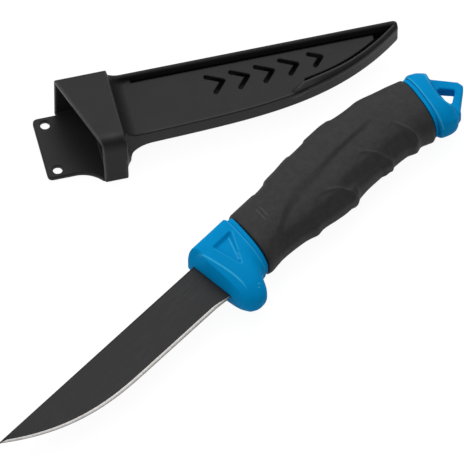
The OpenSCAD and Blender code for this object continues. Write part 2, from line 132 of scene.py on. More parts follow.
@dataclass(frozen=True)
class Track:
    """A smooth curve through chosen points, which never overshoots them."""

    points: Pairs

    def at(self, where: Array) -> Array:
        """Returns the curve's value: a cubic on each span, whose end slopes are harmonic means.

        Args:
            where: Places at which the curve is read; those past an end get the end's value.

        Returns:
            The values there.
        """
        place, value = np.array(self.points, float).T
        span = np.diff(place)
        rise = np.diff(value) / span
        near, far = 2.0 * span[1:] + span[:-1], span[1:] + 2.0 * span[:-1]
        turns = rise[:-1] * rise[1:] <= 0.0
        before, after = np.where(turns, 1.0, rise[:-1]), np.where(turns, 1.0, rise[1:])
        inner = np.where(turns, 0.0, (near + far) / (near / before + far / after))
        slope = np.concatenate([rise[:1], inner, rise[-1:]])
        where = np.asarray(where, float)
        i = np.clip(np.searchsorted(place, where, side="right") - 1, 0, len(span) - 1)
        t = np.clip((where - place[i]) / span[i], 0.0, 1.0)
        return (
            (1.0 + 2.0 * t) * (1.0 - t) ** 2 * value[i]
            + t * (1.0 - t) ** 2 * span[i] * slope[i]
            + t * t * (3.0 - 2.0 * t) * value[i + 1]
            + t * t * (t - 1.0) * span[i] * slope[i + 1]
        )


def outline_distance(x: Array, y: Array, corners: Array) -> Array:
    """Returns the signed distance to a polygon, below zero inside it.

    The least distance to its sides, with the sign from how often a ray crosses them.

    Args:
        x: Places along.
        y: Places across.
        corners: The polygon's corners, one row each.

    Returns:
        The distances.
    """
    nearest = np.full(np.broadcast(x, y).shape, np.inf)
    inside = np.zeros(nearest.shape, bool)
    for (ax, ay), (bx, by) in zip(corners, np.roll(corners, -1, axis=0)):
        nearest = np.minimum(nearest, span_distance(x, y, (ax, ay), (bx, by)))
        if ay != by:
            crossing = ax + (y - ay) / (by - ay) * (bx - ax)
            inside ^= ((ay > y) != (by > y)) & (x < crossing)
    return np.where(inside, -nearest, nearest)


def span_distance(x: Array, y: Array, start: tuple, end: tuple) -> Array:
    """Returns the distance to a straight span: to its nearest point, held between its ends."""
    (ax, ay), (bx, by) = start, end
    dx, dy = bx - ax, by - ay
    t = np.clip(((x - ax) * dx + (y - ay) * dy) / (dx * dx + dy * dy), 0.0, 1.0)
    return np.hypot(x - ax - t * dx, y - ay - t * dy)


def path_distance(x: Array, y: Array, path: Pairs) -> Array:
    """Returns the distance to an open path: the least of those to its spans."""
    return np.minimum.reduce([span_distance(x, y, a, b) for a, b in zip(path, path[1:])])


def rounded(corners: Array, radius: float, steps: int = 8) -> Array:
    """Returns a polygon with each corner cut to an arc of one radius.

    Each corner gives way to points of the arc that touches both of its sides.

    Args:
        corners: The corners, in order.
        radius: Radius of the arcs.
        steps: Steps of each arc.

    Returns:
        The points of the rounded polygon.
    """
    corners = np.asarray(corners, float)
    before, after = np.roll(corners, 1, axis=0) - corners, np.roll(corners, -1, axis=0) - corners
    before /= np.linalg.norm(before, axis=1, keepdims=True)
    after /= np.linalg.norm(after, axis=1, keepdims=True)
    half = np.arccos(np.clip((before * after).sum(1), -1.0, 1.0)) / 2.0
    middle = before + after
    middle /= np.linalg.norm(middle, axis=1, keepdims=True)
    centre = corners + middle * (radius / np.sin(half))[:, None]
    first = corners + before * (radius / np.tan(half))[:, None] - centre
    last = corners + after * (radius / np.tan(half))[:, None] - centre
    start = np.arctan2(first[:, 1], first[:, 0])
    sweep = (np.arctan2(last[:, 1], last[:, 0]) - start + math.pi) % TURN - math.pi
    angle = start[:, None] + sweep[:, None] * np.linspace(0.0, 1.0, steps + 1)
    arc = np.stack([np.cos(angle), np.sin(angle)], -1) * radius
    return (centre[:, None, :] + arc).reshape(-1, 2)


def placed(runs: Runs) -> Array:
    """Returns the places of several even runs, each given by its ends and its count, in order."""
    return np.unique(np.concatenate([np.linspace(*run) for run in runs]))


def hollow_distance(x: Array, y: Array, centre: tuple, reach: tuple) -> Array:
    """Returns about the distance outside an ellipse: its equation, over the size of its gradient."""
    across, up = (x - centre[0]) / reach[0], (y - centre[1]) / reach[1]
    size = np.sqrt(across * across + up * up) + 1e-9
    return (size - 1.0) * size / np.hypot(across / reach[0], up / reach[1])


# Meshes

@dataclass(frozen=True)
class Place:
    """Where a frame of the builder's own lies in the row frame."""

    origin: Array
    along: Array

    @property
    def axes(self) -> Array:
        """The frame's three directions, one row each."""
        return np.array([self.along, [-self.along[1], self.along[0], 0.0], [0.0, 0.0, 1.0]])

    def to_row(self, points: Array) -> Array:
        """Returns points of this frame, given in millimetres, in metres of the row frame."""
        return self.origin + MM * (points @ self.axes)

    def from_row(self, points: Array) -> Array:
        """Returns points given in metres of the row frame in millimetres of this frame."""
        return (points - self.origin) / MM @ self.axes.T


@dataclass
class Skin:
    """Points with the quads and triangles between them, and each face's finish by number."""

    points: Array
    quads: Array
    triangles: Array = field(default_factory=lambda: np.zeros((0, 3), int))
    finish: Array | None = None

    def joined(self, other: "Skin") -> "Skin":
        """Returns this skin and another as one, this one's faces of each kind first."""
        shift = len(self.points)
        mine, theirs = self.finishes(), other.finishes()
        split, other_split = len(self.quads), len(other.quads)
        return Skin(
            np.concatenate([self.points, other.points]),
            np.concatenate([self.quads, other.quads + shift]),
            np.concatenate([self.triangles, other.triangles + shift]),
            np.concatenate([mine[:split], theirs[:other_split], mine[split:], theirs[other_split:]]),
        )

    def finishes(self) -> Array:
        """Returns each face's finish, 0 where none was set."""
        count = len(self.quads) + len(self.triangles)
        return np.zeros(count, int) if self.finish is None else self.finish

    def outward(self) -> "Skin":
        """Returns the skin with its faces turned outwards, judged by its signed volume."""
        halves = [self.quads[:, [0, 1, 2]], self.quads[:, [0, 2, 3]], self.triangles]
        a, b, c = (self.points[np.concatenate(halves)[:, i]] for i in range(3))
        if np.einsum("ij,ij->", a, np.cross(b, c)) >= 0.0:
            return self
        return Skin(self.points, self.quads[:, ::-1], self.triangles[:, ::-1], self.finish)

    def piece(self, name: str, place: Place) -> bpy.types.Object:
        """Returns a smooth-shaded object of this skin, with its place in its mesh.

        Args:
            name: Name of the piece.
            place: The frame that the points are in.

        Returns:
            The object, at the origin.
        """
        mesh = bpy.data.meshes.new(name)
        mesh.vertices.add(len(self.points))
        mesh.vertices.foreach_set("co", place.to_row(self.points).astype(np.float32).ravel())
        corners = np.concatenate([self.quads.ravel(), self.triangles.ravel()]).astype(np.int32)
        sizes = np.repeat([4, 3], [len(self.quads), len(self.triangles)])
        mesh.loops.add(len(corners))
        mesh.loops.foreach_set("vertex_index", corners)
        mesh.polygons.add(len(sizes))
        mesh.polygons.foreach_set("loop_start", (np.cumsum(sizes) - sizes).astype(np.int32))
        mesh.polygons.foreach_set("material_index", self.finishes().astype(np.int32))
        mesh.update(calc_edges=True)
        mesh.validate()
        mesh.shade_smooth()
        piece = bpy.data.objects.new(name, mesh)
        bpy.context.scene.collection.objects.link(piece)
        return piece


def grid_quads(rows: int, columns: int, ring: bool, loop: bool = False) -> Array:
    """Returns the quads of a grid of points.

    Args:
        rows: Points along the first parameter.
        columns: Points along the second parameter.
        ring: Whether the last column joins the first one.
        loop: Whether the last row joins the first one.

    Returns:
        Four point numbers for each quad.
    """
    i = np.arange(rows if loop else rows - 1)[:, None]
    j = np.arange(columns if ring else columns - 1)[None, :]
    below, right = (i + 1) % rows, (j + 1) % columns
    cells = [i * columns + j, i * columns + right, below * columns + right, below * columns + j]
    return np.stack(np.broadcast_arrays(*cells), -1).reshape(-1, 4)


def tube(rings: Array) -> Skin:
    """Returns a closed skin through rings of equal count.

    Each end is closed by copies of its ring, drawn in towards its middle, and a fan to that middle.

    Args:
        rings: Points by ring, point and axis.

    Returns:
        The skin, with its faces outwards.
    """
    middles = rings[[0, -1]].mean(axis=1)
    shares = np.array(CLOSING)[:, None, None]
    front = middles[0] + (rings[0] - middles[0]) * shares[::-1]
    rear = middles[1] + (rings[-1] - middles[1]) * shares
    rows = np.concatenate([front, rings, rear])
    count, columns = rows.shape[:2]
    points = np.concatenate([rows.reshape(-1, 3), middles])
    j = np.arange(columns)
    after = (j + 1) % columns
    last = (count - 1) * columns
    fans = [
        np.stack([np.full(columns, len(points) - 2), after, j], -1),
        np.stack([np.full(columns, len(points) - 1), last + j, last + after], -1),
    ]
    return Skin(points, grid_quads(count, columns, True), np.concatenate(fans)).outward()


def field_skin(solid: Field, low: tuple, high: tuple, cell: float, passes: int = 3) -> Skin:
    """Returns the skin on which a field is zero.

    One point in each cell that the skin crosses, at the mean of the crossings on the cell's sides,
    and one quad round each grid side that it crosses. The points then move to the skin along the
    field's slope, by the field's value over the slope's size.

    Args:
        solid: Field that is below zero inside the solid.
        low: Lowest corner of the grid.
        high: Highest corner of the grid.
        cell: Size of its cells.
        passes: How often the points are moved to the skin.

    Returns:
        The skin, with its faces outwards.
    """
    axes = [np.arange(a, b + cell, cell) for a, b in zip(low, high)]
    value = solid(axes[0][:, None, None], axes[1][None, :, None], axes[2][None, None, :])
    inside = value < 0.0
    offsets = np.array([(i, j, k) for i in (0, 1) for j in (0, 1) for k in (0, 1)])
    cells = np.array(inside.shape) - 1
    count = np.zeros(cells, np.int8)
    for i, j, k in offsets:
        count += inside[i:i + cells[0], j:j + cells[1], k:k + cells[2]]
    crossed = (count > 0) & (count < 8)
    number = np.full(cells, -1)
    number[crossed] = np.arange(crossed.sum())
    base = np.argwhere(crossed)
    corner = [value[tuple((base + step).T)] for step in offsets]
    total, hits = np.zeros((len(base), 3)), np.zeros(len(base))
    for a, start in enumerate(offsets):
        for b, end in enumerate(offsets):
            if b > a and np.abs(end - start).sum() == 1:
                cut = (corner[a] < 0.0) != (corner[b] < 0.0)
                gap = np.where(cut, corner[a] - corner[b], 1.0)
                share = np.where(cut, corner[a] / gap, 0.0)[:, None]
                total += np.where(cut[:, None], start + share * (end - start), 0.0)
                hits += cut
    points = np.array(low) + cell * (base + total / hits[:, None])
    for _ in range(passes):
        points = onto_skin(solid, points, cell)
    quads = []
    for axis in range(3):
        one, two = (axis + 1) % 3, (axis + 2) % 3
        first, second = [np.take(inside, np.arange(n, inside.shape[axis] - 1 + n), axis) for n in (0, 1)]
        sides = np.argwhere(first != second)
        sides = sides[((sides > 0) | (np.arange(3) == axis)).all(1)]
        sides = sides[(sides[:, one] < cells[one]) & (sides[:, two] < cells[two])]
        step_one, step_two = np.eye(3, dtype=int)[one], np.eye(3, dtype=int)[two]
        around = [sides, sides - step_one, sides - step_one - step_two, sides - step_two]
        faces = np.stack([number[tuple(place.T)] for place in around], -1)
        solid_first = inside[tuple(sides.T)]
        quads.append(np.where(solid_first[:, None], faces, faces[:, ::-1]))
    return Skin(points, np.concatenate(quads)).outward()


def onto_skin(solid: Field, points: Array, cell: float) -> Array:
    """Returns points moved once towards the place where a field is zero, at most half a cell."""
    nudge = 0.05 * cell
    x, y, z = points.T
    value = solid(x, y, z)
    slope = np.stack([
        solid(x + nudge, y, z) - solid(x - nudge, y, z),
        solid(x, y + nudge, z) - solid(x, y - nudge, z),
        solid(x, y, z + nudge) - solid(x, y, z - nudge),
    ], -1) / (2.0 * nudge)
    steep = (slope * slope).sum(1) + 1e-6
    move = slope * (value / steep)[:, None]
    length = np.linalg.norm(move, axis=1, keepdims=True) + 1e-12
    return points - move * np.minimum(1.0, 0.5 * cell / length)


def points_of(piece: bpy.types.Object) -> Array:
    """Returns the points of an object's mesh, one row each."""
    points = np.zeros(len(piece.data.vertices) * 3, np.float32)
    piece.data.vertices.foreach_get("co", points)
    return points.reshape(-1, 3)


def store_highlight_and_wear(piece: bpy.types.Object, place: Place, highlight_and_wear: Field) -> None:
    """Stores how much paler the surface is painted, from 0 to 1, at each point of a piece: mostly painted
    highlights along edges, with a few real marks.

    Args:
        piece: The piece, in place.
        place: The frame that the field is given in.
        highlight_and_wear: Field of the painted highlights and a few real marks, over x, y and z in
            millimetres.
    """
    x, y, z = place.from_row(points_of(piece).astype(float)).T
    share = np.clip(highlight_and_wear(x, y, z), 0.0, 1.0).astype(np.float32)
    piece.data.attributes.new(HIGHLIGHT_AND_WEAR, "FLOAT", "POINT").data.foreach_set("value", share)


def hold(piece: bpy.types.Object) -> None:
    """Holds a piece's points inside the box of the solids."""
    low, high = (np.array([float(v) for v in corner]) for corner in CAD_BOUNDS)
    held = np.clip(points_of(piece), low, high)
    piece.data.vertices.foreach_set("co", held.astype(np.float32).ravel())
    piece.data.update()


def thinned(piece: bpy.types.Object, share: float) -> None:
    """Merges the least needed points of a piece, down to a share of its triangles."""
    modifier = piece.modifiers.new("thin", "DECIMATE")
    modifier.ratio = share
    graph = bpy.context.evaluated_depsgraph_get()
    mesh = bpy.data.meshes.new_from_object(piece.evaluated_get(graph))
    piece.modifiers.remove(modifier)
    mesh.name = piece.name
    piece.data = mesh


# Sections of the handle

@dataclass(frozen=True)
class Section:
    """Squareness of a handle section on its back and its belly: 2 is an ellipse."""

    back: float
    belly: float

    def angles(self, count: int, high: float, half: float) -> Array:
        """Returns angles whose points on a section of the given size lie evenly along its outline.

        Args:
            count: Number of angles.
            high: Half of the section's height.
            half: Half of its thickness.

        Returns:
            The angles, starting at the back.
        """
        fine = np.linspace(0.0, TURN, 20001)
        across, up = self.unit(fine)
        step = np.hypot(np.diff(across * high), np.diff(up * half))
        length = np.concatenate([[0.0], np.cumsum(step)])
        return np.interp(np.arange(count) / count * length[-1], length, fine)

    def unit(self, angle: Array) -> tuple[Array, Array]:
        """Returns places across and up: the cosine and the sine, each to the power 2 over n."""
        power = 2.0 / np.where(np.cos(angle) > 0.0, self.back, self.belly)
        cosine, sine = np.cos(angle), np.sin(angle)
        return np.sign(cosine) * np.abs(cosine) ** power, np.sign(sine) * np.abs(sine) ** power


@dataclass
class Rings:
    """Sections of the handle, one for each station: its place, lean, lowest, highest and half thickness."""

    x: Array
    lean: Array | float
    low: Array | float
    high: Array | float
    half: Array | float

    def drawn_in(self, inset: Array | float) -> "Rings":
        """Returns the rings with their outlines drawn in by a distance."""
        return Rings(self.x, self.lean, self.low + inset, self.high - inset, self.half - inset)

    def points(self, section: Section, angle: Array, taper: float = 0.0) -> Array:
        """Returns the points by ring, point and axis.

        Across is the middle plus the half height times the unit place; up is the half thickness
        times the unit place, less a share of it that grows with the fourth power of the depth;
        along is the station plus its lean times the place across.

        Args:
            section: Squareness of the sections.
            angle: Angles of the points.
            taper: Share of the thickness that is lost at the belly.

        Returns:
            The points.
        """
        across, up = section.unit(angle)
        flat = np.ones(len(self.x))
        parts = (self.x, self.lean, self.low, self.high, self.half)
        x, lean, low, high, half = ((flat * part)[:, None] for part in parts)
        y = (low + high) / 2.0 + (high - low) / 2.0 * across
        depth = np.clip((high - y) / (high - low), 0.0, 1.0)
        return np.stack([x + lean * y, y, half * up * (1.0 - taper * depth ** 4.0)], -1)


def round_inset(place: Array, length: float, radius: float) -> Array:
    """Returns how far an outline is drawn in near both ends: a quarter circle of that radius."""
    near = np.clip(1.0 - np.minimum(place, length - place) / radius, 0.0, 1.0)
    return radius * (1.0 - np.sqrt(1.0 - near * near))


# Finishes

def linear(red: float, green: float, blue: float) -> tuple[float, float, float, float]:
    """Returns a colour given in screen levels of 0 to 255 as the linear one that shaders take."""
    level = np.array([red, green, blue]) / 255.0
    low, high = level / 12.92, ((level + 0.055) / 1.055) ** 2.4
    return (*np.where(level <= 0.04045, low, high), 1.0)


class Graph:
    """The nodes of a material or a world, and the few kinds that the finishes and the studio need."""

    def __init__(self, owner: bpy.types.ID) -> None:
        """Turns the owner's nodes on."""
        owner.use_nodes = True
        self.owner, self.nodes, self.links = owner, owner.node_tree.nodes, owner.node_tree.links

    def add(self, kind: str, inputs: dict | None = None, **values: object) -> bpy.types.Node:
        """Returns a new node, with its properties set and its inputs set or linked."""
        node = self.nodes.new(kind)
        for name, value in values.items():
            setattr(node, name, value)
        return self.feed(node, inputs or {})

    def feed(self, node: bpy.types.Node, inputs: dict) -> bpy.types.Node:
        """Returns the node, with outputs linked to its inputs, or plain values set on them."""
        for name, value in inputs.items():
            if isinstance(value, bpy.types.NodeSocket):
                self.links.new(value, node.inputs[name])
            else:
                node.inputs[name].default_value = value
        return node

    def levels(self, value: object, low: float, high: float, to_low: object, to_high: float,
               kind: str = "LINEAR") -> object:
        """Returns a value moved from one range to another, held between the ends."""
        names = ("Value", "From Min", "From Max", "To Min", "To Max")
        inputs = dict(zip(names, (value, low, high, to_low, to_high)))
        return self.add("ShaderNodeMapRange", inputs, interpolation_type=kind).outputs["Result"]

    def maths(self, operation: str, first: object, second: object) -> object:
        """Returns the outcome of one operation on two values."""
        return self.add("ShaderNodeMath", {0: first, 1: second}, operation=operation).outputs[0]

    def seen(self, *kinds: str) -> object:
        """Returns 1 for a ray of any of the kinds, such as camera, and 0 for any other."""
        rays = self.add("ShaderNodeLightPath").outputs
        share = rays[kinds[0]]
        for kind in kinds[1:]:
            share = self.maths("MAXIMUM", share, rays[kind])
        return share


class Finish(Graph):
    """A material, with noise, colours and bumps on its object's coordinates."""

    def __init__(self, name: str) -> None:
        """Makes the material, with its coordinates."""
        super().__init__(bpy.data.materials.new(name))
        self.place = self.add("ShaderNodeTexCoord").outputs["Object"]

    def drawn(self, along: Array, scale: Triple) -> object:
        """Returns the coordinates turned to a direction, and drawn out by a scale."""
        turn = (0.0, 0.0, math.atan2(along[1], along[0]))
        inputs = {"Vector": self.place, "Rotation": turn, "Scale": scale}
        return self.add("ShaderNodeMapping", inputs, vector_type="TEXTURE").outputs[0]

    def noise(self, size: float, detail: float, rough: float, warp: float = 0.0, **place: object) -> object:
        """Returns fractal noise between 0 and 1 whose largest features measure `size` mm."""
        inputs = {"Vector": self.place, "Scale": 1.0 / (size * MM), "Detail": detail, "Roughness": rough,
                  "Distortion": warp, **place}
        return self.add("ShaderNodeTexNoise", inputs).outputs["Fac"]

    def mix(self, share: object, first: tuple | object, second: tuple) -> object:
        """Returns two colours, given in screen levels or as an output, mixed by a share."""
        first = linear(*first) if isinstance(first, tuple) else first
        inputs = {0: share, 6: first, 7: linear(*second)}
        return self.add("ShaderNodeMix", inputs, data_type="RGBA").outputs[2]

    def bump(self, height: object, depth: float, strength: float, **under: object) -> object:
        """Returns a normal bumped by a height whose full range measures `depth` mm."""
        inputs = {"Height": height, "Distance": depth * MM, "Strength": strength, **under}
        return self.add("ShaderNodeBump", inputs).outputs["Normal"]

    def dressed(self, inputs: dict) -> bpy.types.Material:
        """Returns the material, with its shader's inputs set."""
        self.feed(self.nodes["Principled BSDF"], inputs)
        return self.owner


@dataclass(frozen=True)
class Moulded:
    """Moulded plastic or rubber: a base colour, cloudy gloss, a fine grain, and paler places that are painted
    highlights along edges, with a few real marks.
    """

    name: str
    colour: Triple
    shade: Triple
    highlight_and_wear_colour: Triple
    gloss: Pair
    specular: float
    grain: float
    grain_depth: float
    cloud: float = 9.0

    def material(self) -> bpy.types.Material:
        """Returns the material; its paler places, painted highlights and a few real marks, come from the
        piece's own points.
        """
        finish = Finish(self.name)
        cloud = finish.noise(self.cloud, 4.0, 0.6, 0.4)
        fine = finish.noise(self.grain, 2.0, 0.6)
        body = finish.mix(finish.levels(cloud, 0.3, 0.7, 0.0, 1.0), self.shade, self.colour)
        highlight_and_wear = finish.add("ShaderNodeAttribute", attribute_name=HIGHLIGHT_AND_WEAR).outputs["Fac"]
        # Painted highlights: edges are lightened towards the paler colour by the stored value, broken up by
        # fine noise
        highlight_and_wear_share = finish.maths("MULTIPLY", highlight_and_wear, finish.levels(fine, 0.3, 0.6, 0.55, 1.0))
        return finish.dressed({
            "Base Color": finish.mix(highlight_and_wear_share, body, self.highlight_and_wear_colour),
            "Roughness": finish.levels(fine, 0.25, 0.75, *self.gloss),
            "Specular IOR Level": self.specular,
            "Normal": finish.bump(fine, self.grain_depth, 0.6, Normal=finish.bump(cloud, 0.05, 0.25)),
        })


@dataclass(frozen=True)
class Coated:
    """Steel under a thin matt coating, rubbed paler in fine streaks along the blade."""

    name: str
    colour: Triple
    streak: Triple

    def material(self, along: Array) -> bpy.types.Material:
        """Returns the material; its streaks run along the given direction."""
        finish = Finish(self.name)
        streaks = finish.noise(0.5, 4.0, 0.65, Vector=finish.drawn(along, (14.0, 1.0, 1.0)))
        cloud = finish.noise(16.0, 4.0, 0.55)
        paler_marks = finish.maths("MULTIPLY", finish.levels(streaks, 0.45, 0.8, 0.0, 1.0),
                              finish.levels(cloud, 0.35, 0.7, 0.15, 1.0))
        grit = finish.noise(0.12, 2.0, 0.5)
        return finish.dressed({
            "Base Color": finish.mix(paler_marks, self.colour, self.streak),
            "Roughness": finish.levels(grit, 0.3, 0.7, 0.42, 0.6),
            "Specular IOR Level": 0.2,
            "Normal": finish.bump(grit, 0.006, 0.5),
        })


@dataclass(frozen=True)
class GroundSteel:
    """Bare steel with fine grinding lines across the edge."""

    name: str
    dark: Triple
    bright: Triple

    def material(self, along: Array) -> bpy.types.Material:
        """Returns the material; its grinding lines run across the given direction."""
        finish = Finish(self.name)
        lines = finish.noise(0.18, 3.0, 0.6, Vector=finish.drawn(along, (1.0, 10.0, 10.0)))
        cloud = finish.noise(5.0, 3.0, 0.5)
        tone = finish.maths("MULTIPLY", finish.levels(lines, 0.3, 0.7, 0.3, 1.0),
                            finish.levels(cloud, 0.3, 0.7, 0.6, 1.0))
        return finish.dressed({
            "Metallic": 1.0,
            "Base Color": finish.mix(tone, self.dark, self.bright),
            "Roughness": finish.levels(cloud, 0.3, 0.7, 0.28, 0.42),
            "Normal": finish.bump(lines, 0.01, 0.5),
        })


# The third colour of each is the paler one of its painted highlights and real marks
BLUE = Moulded("blue_plastic", (0, 137, 198), (0, 130, 189), (80, 196, 235), (0.45, 0.6), 0.02, 0.35, 0.006)
RUBBER = Moulded("grip_rubber", (50, 49, 49), (41, 41, 41), (76, 76, 75), (0.6, 0.75), 0.22, 0.6, 0.05, 2.2)
SHEATH_PLASTIC = Moulded("sheath_plastic", (38, 37, 38), (34, 33, 34), (84, 84, 85), (0.36, 0.48), 0.13,
                         0.4, 0.008)
BLADE_COATING = Coated("blade_coating", (33, 33, 34), (48, 48, 49))
GROUND_EDGE = GroundSteel("ground_steel", (104, 103, 101), (192, 189, 186))


# Pieces

class Body(Enum):
    """The bodies that pieces ride on."""

    KNIFE = "knife"
    SHEATH = "sheath"


class Slot(Enum):
    """The record's material slots."""

    STEEL = "blackened_steel"
    BLUE = "blue_plastic"
    RUBBER = "grip_rubber"
    SHEATH = "sheath_plastic"


def settle(piece: bpy.types.Object, body: Body, node: str, slot: Slot,
           *finishes: bpy.types.Material) -> None:
    """Gives a piece its finishes and its body, and lets it stand for its node.

    Args:
        piece: The piece, in place.
        body: The body that it rides on.
        node: The node that it stands for.
        slot: The material slot of the record; not used.
        finishes: Its materials, by number of finish.
    """
    for finish in finishes:
        piece.data.materials.append(finish)
    hold(piece)
    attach(piece, body.value)
    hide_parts(node)
    LOG.info("%s: %d points, %d faces", piece.name, len(piece.data.vertices), len(piece.data.polygons))


@dataclass
class Blade:
    """The blade with its ground edge, and the tang inside the handle."""

    place: Place
    length: float = 102.4
    height: float = 17.9
    thickness: float = 2.0
    straight: float = 45.0
    belly_power: float = 2.55
    strip: float = 1.2
    strip_share: float = 0.42
    strip_bend: float = 1.4
    edge_share: float = 0.06
    tip_share: float = 0.6
    point_height: float = 0.4
    corner_drop: float = 0.1
    corner_share: float = 0.85
    heel_drop: float = 0.45
    heel_reach: float = 8.0
    stations: int = 420
    crowding: float = 1.4
    buried: float = 0.25
    tang_length: float = 84.0
    tang_heights: Pair = (13.0, 8.06)
    tang_holes: tuple[float, ...] = (25.2, 60.48)
    tang_hole_radius: float = 2.5
    tang_box: Box = ((-0.6, -7.4, -1.6), (85.2, 7.4, 1.6))
    tang_cell: float = 0.4

    def edge(self, distance: Array) -> Array:
        """Returns where the edge lies: it rises from the straight part by a power of the distance."""
        curved = np.clip((distance - self.straight) / (self.length - self.straight), 0.0, 1.0)
        rise = self.height * curved ** self.belly_power
        heel = self.heel_drop * ease(1.0 - distance / self.heel_reach)
        back = self.height / 2.0
        return np.minimum(back - self.point_height, -back + rise - heel)

    def section(self, distance: Array) -> Array:
        """Returns the outline of the steel at each distance from the bolster.

        Half of it goes from the middle of the back over a rounded corner and down the flat flank
        to the ground strip, which meets the flank in a crease, and falls by a power of the way to
        the edge; the other half is its mirror.

        Args:
            distance: Distances from the bolster's front.

        Returns:
            Points by station, point and axis.
        """
        back, edge = self.height / 2.0, self.edge(distance)[:, None]
        half = self.thickness / 2.0 * (1.0 - (1.0 - self.tip_share) * distance / self.length)[:, None]
        strip = self.strip * (0.4 + 0.6 * ease(distance / self.heel_reach))[:, None]
        strip = np.minimum(strip, (back - edge) / 2.0)
        share = np.concatenate([[0.0, 0.0], np.linspace(0.0, 1.0, 22)[1:-1]])
        flank_y = back + (edge + strip - back) * share
        flank_y[:, 2] -= self.corner_drop
        flank_z = half * (1.0 + (self.strip_share - 1.0) * share)
        flank_z[:, :2] *= (0.0, self.corner_share)
        way = np.array([0.0, 0.02, 0.3, 0.6, 0.9])
        strip_y = edge + strip * (1.0 - way) + 0.02 * (way == 0.0)
        strip_z = half * (self.strip_share + (self.edge_share - self.strip_share) * way ** self.strip_bend)
        y = np.concatenate([flank_y, strip_y, edge], 1)
        z = np.concatenate([flank_z, strip_z, half * self.edge_share * 0.5], 1)
        top = np.stack([np.broadcast_to(-distance[:, None], y.shape), y, z], -1)
        return np.concatenate([top, top[:, :0:-1] * (1.0, 1.0, -1.0)], 1)

    def tang(self, x: Array, y: Array, z: Array) -> Array:
        """Returns the tang's field: a tapering plate with two round holes."""
        share = x / self.tang_length
        half = (self.tang_heights[0] + (self.tang_heights[1] - self.tang_heights[0]) * share) / 2.0
        plan = soft_max(np.abs(y) - half, np.maximum(x - self.tang_length, 0.3 - x), 2.0)
        for hole in self.tang_holes:
            plan = np.maximum(plan, self.tang_hole_radius - np.hypot(x - hole, y))
        return soft_max(plan, np.abs(z) - self.thickness / 2.0, 0.2)

    def build(self) -> None:
        """Builds and dresses the blade; the faces between the creases get the ground finish."""
        share = np.linspace(0.0, 1.0, self.stations)
        distance = self.length * (1.0 - (1.0 - share) ** self.crowding)
        distance[0] = -self.buried
        rings = self.section(distance)
        steel = tube(rings)
        count = rings.shape[1]
        column = np.tile(np.arange(count), self.stations - 1 + 2 * len(CLOSING))
        half = (count + 1) // 2
        ground = (column >= half - 6) & (column < half + 4)
        steel.finish = np.concatenate([ground.astype(int), np.zeros(len(steel.triangles), int)])
        skin = steel.joined(field_skin(self.tang, *self.tang_box, self.tang_cell))
        settle(skin.piece("blade_steel", self.place), Body.KNIFE, "blade", Slot.STEEL,
               BLADE_COATING.material(self.place.along), GROUND_EDGE.material(self.place.along))


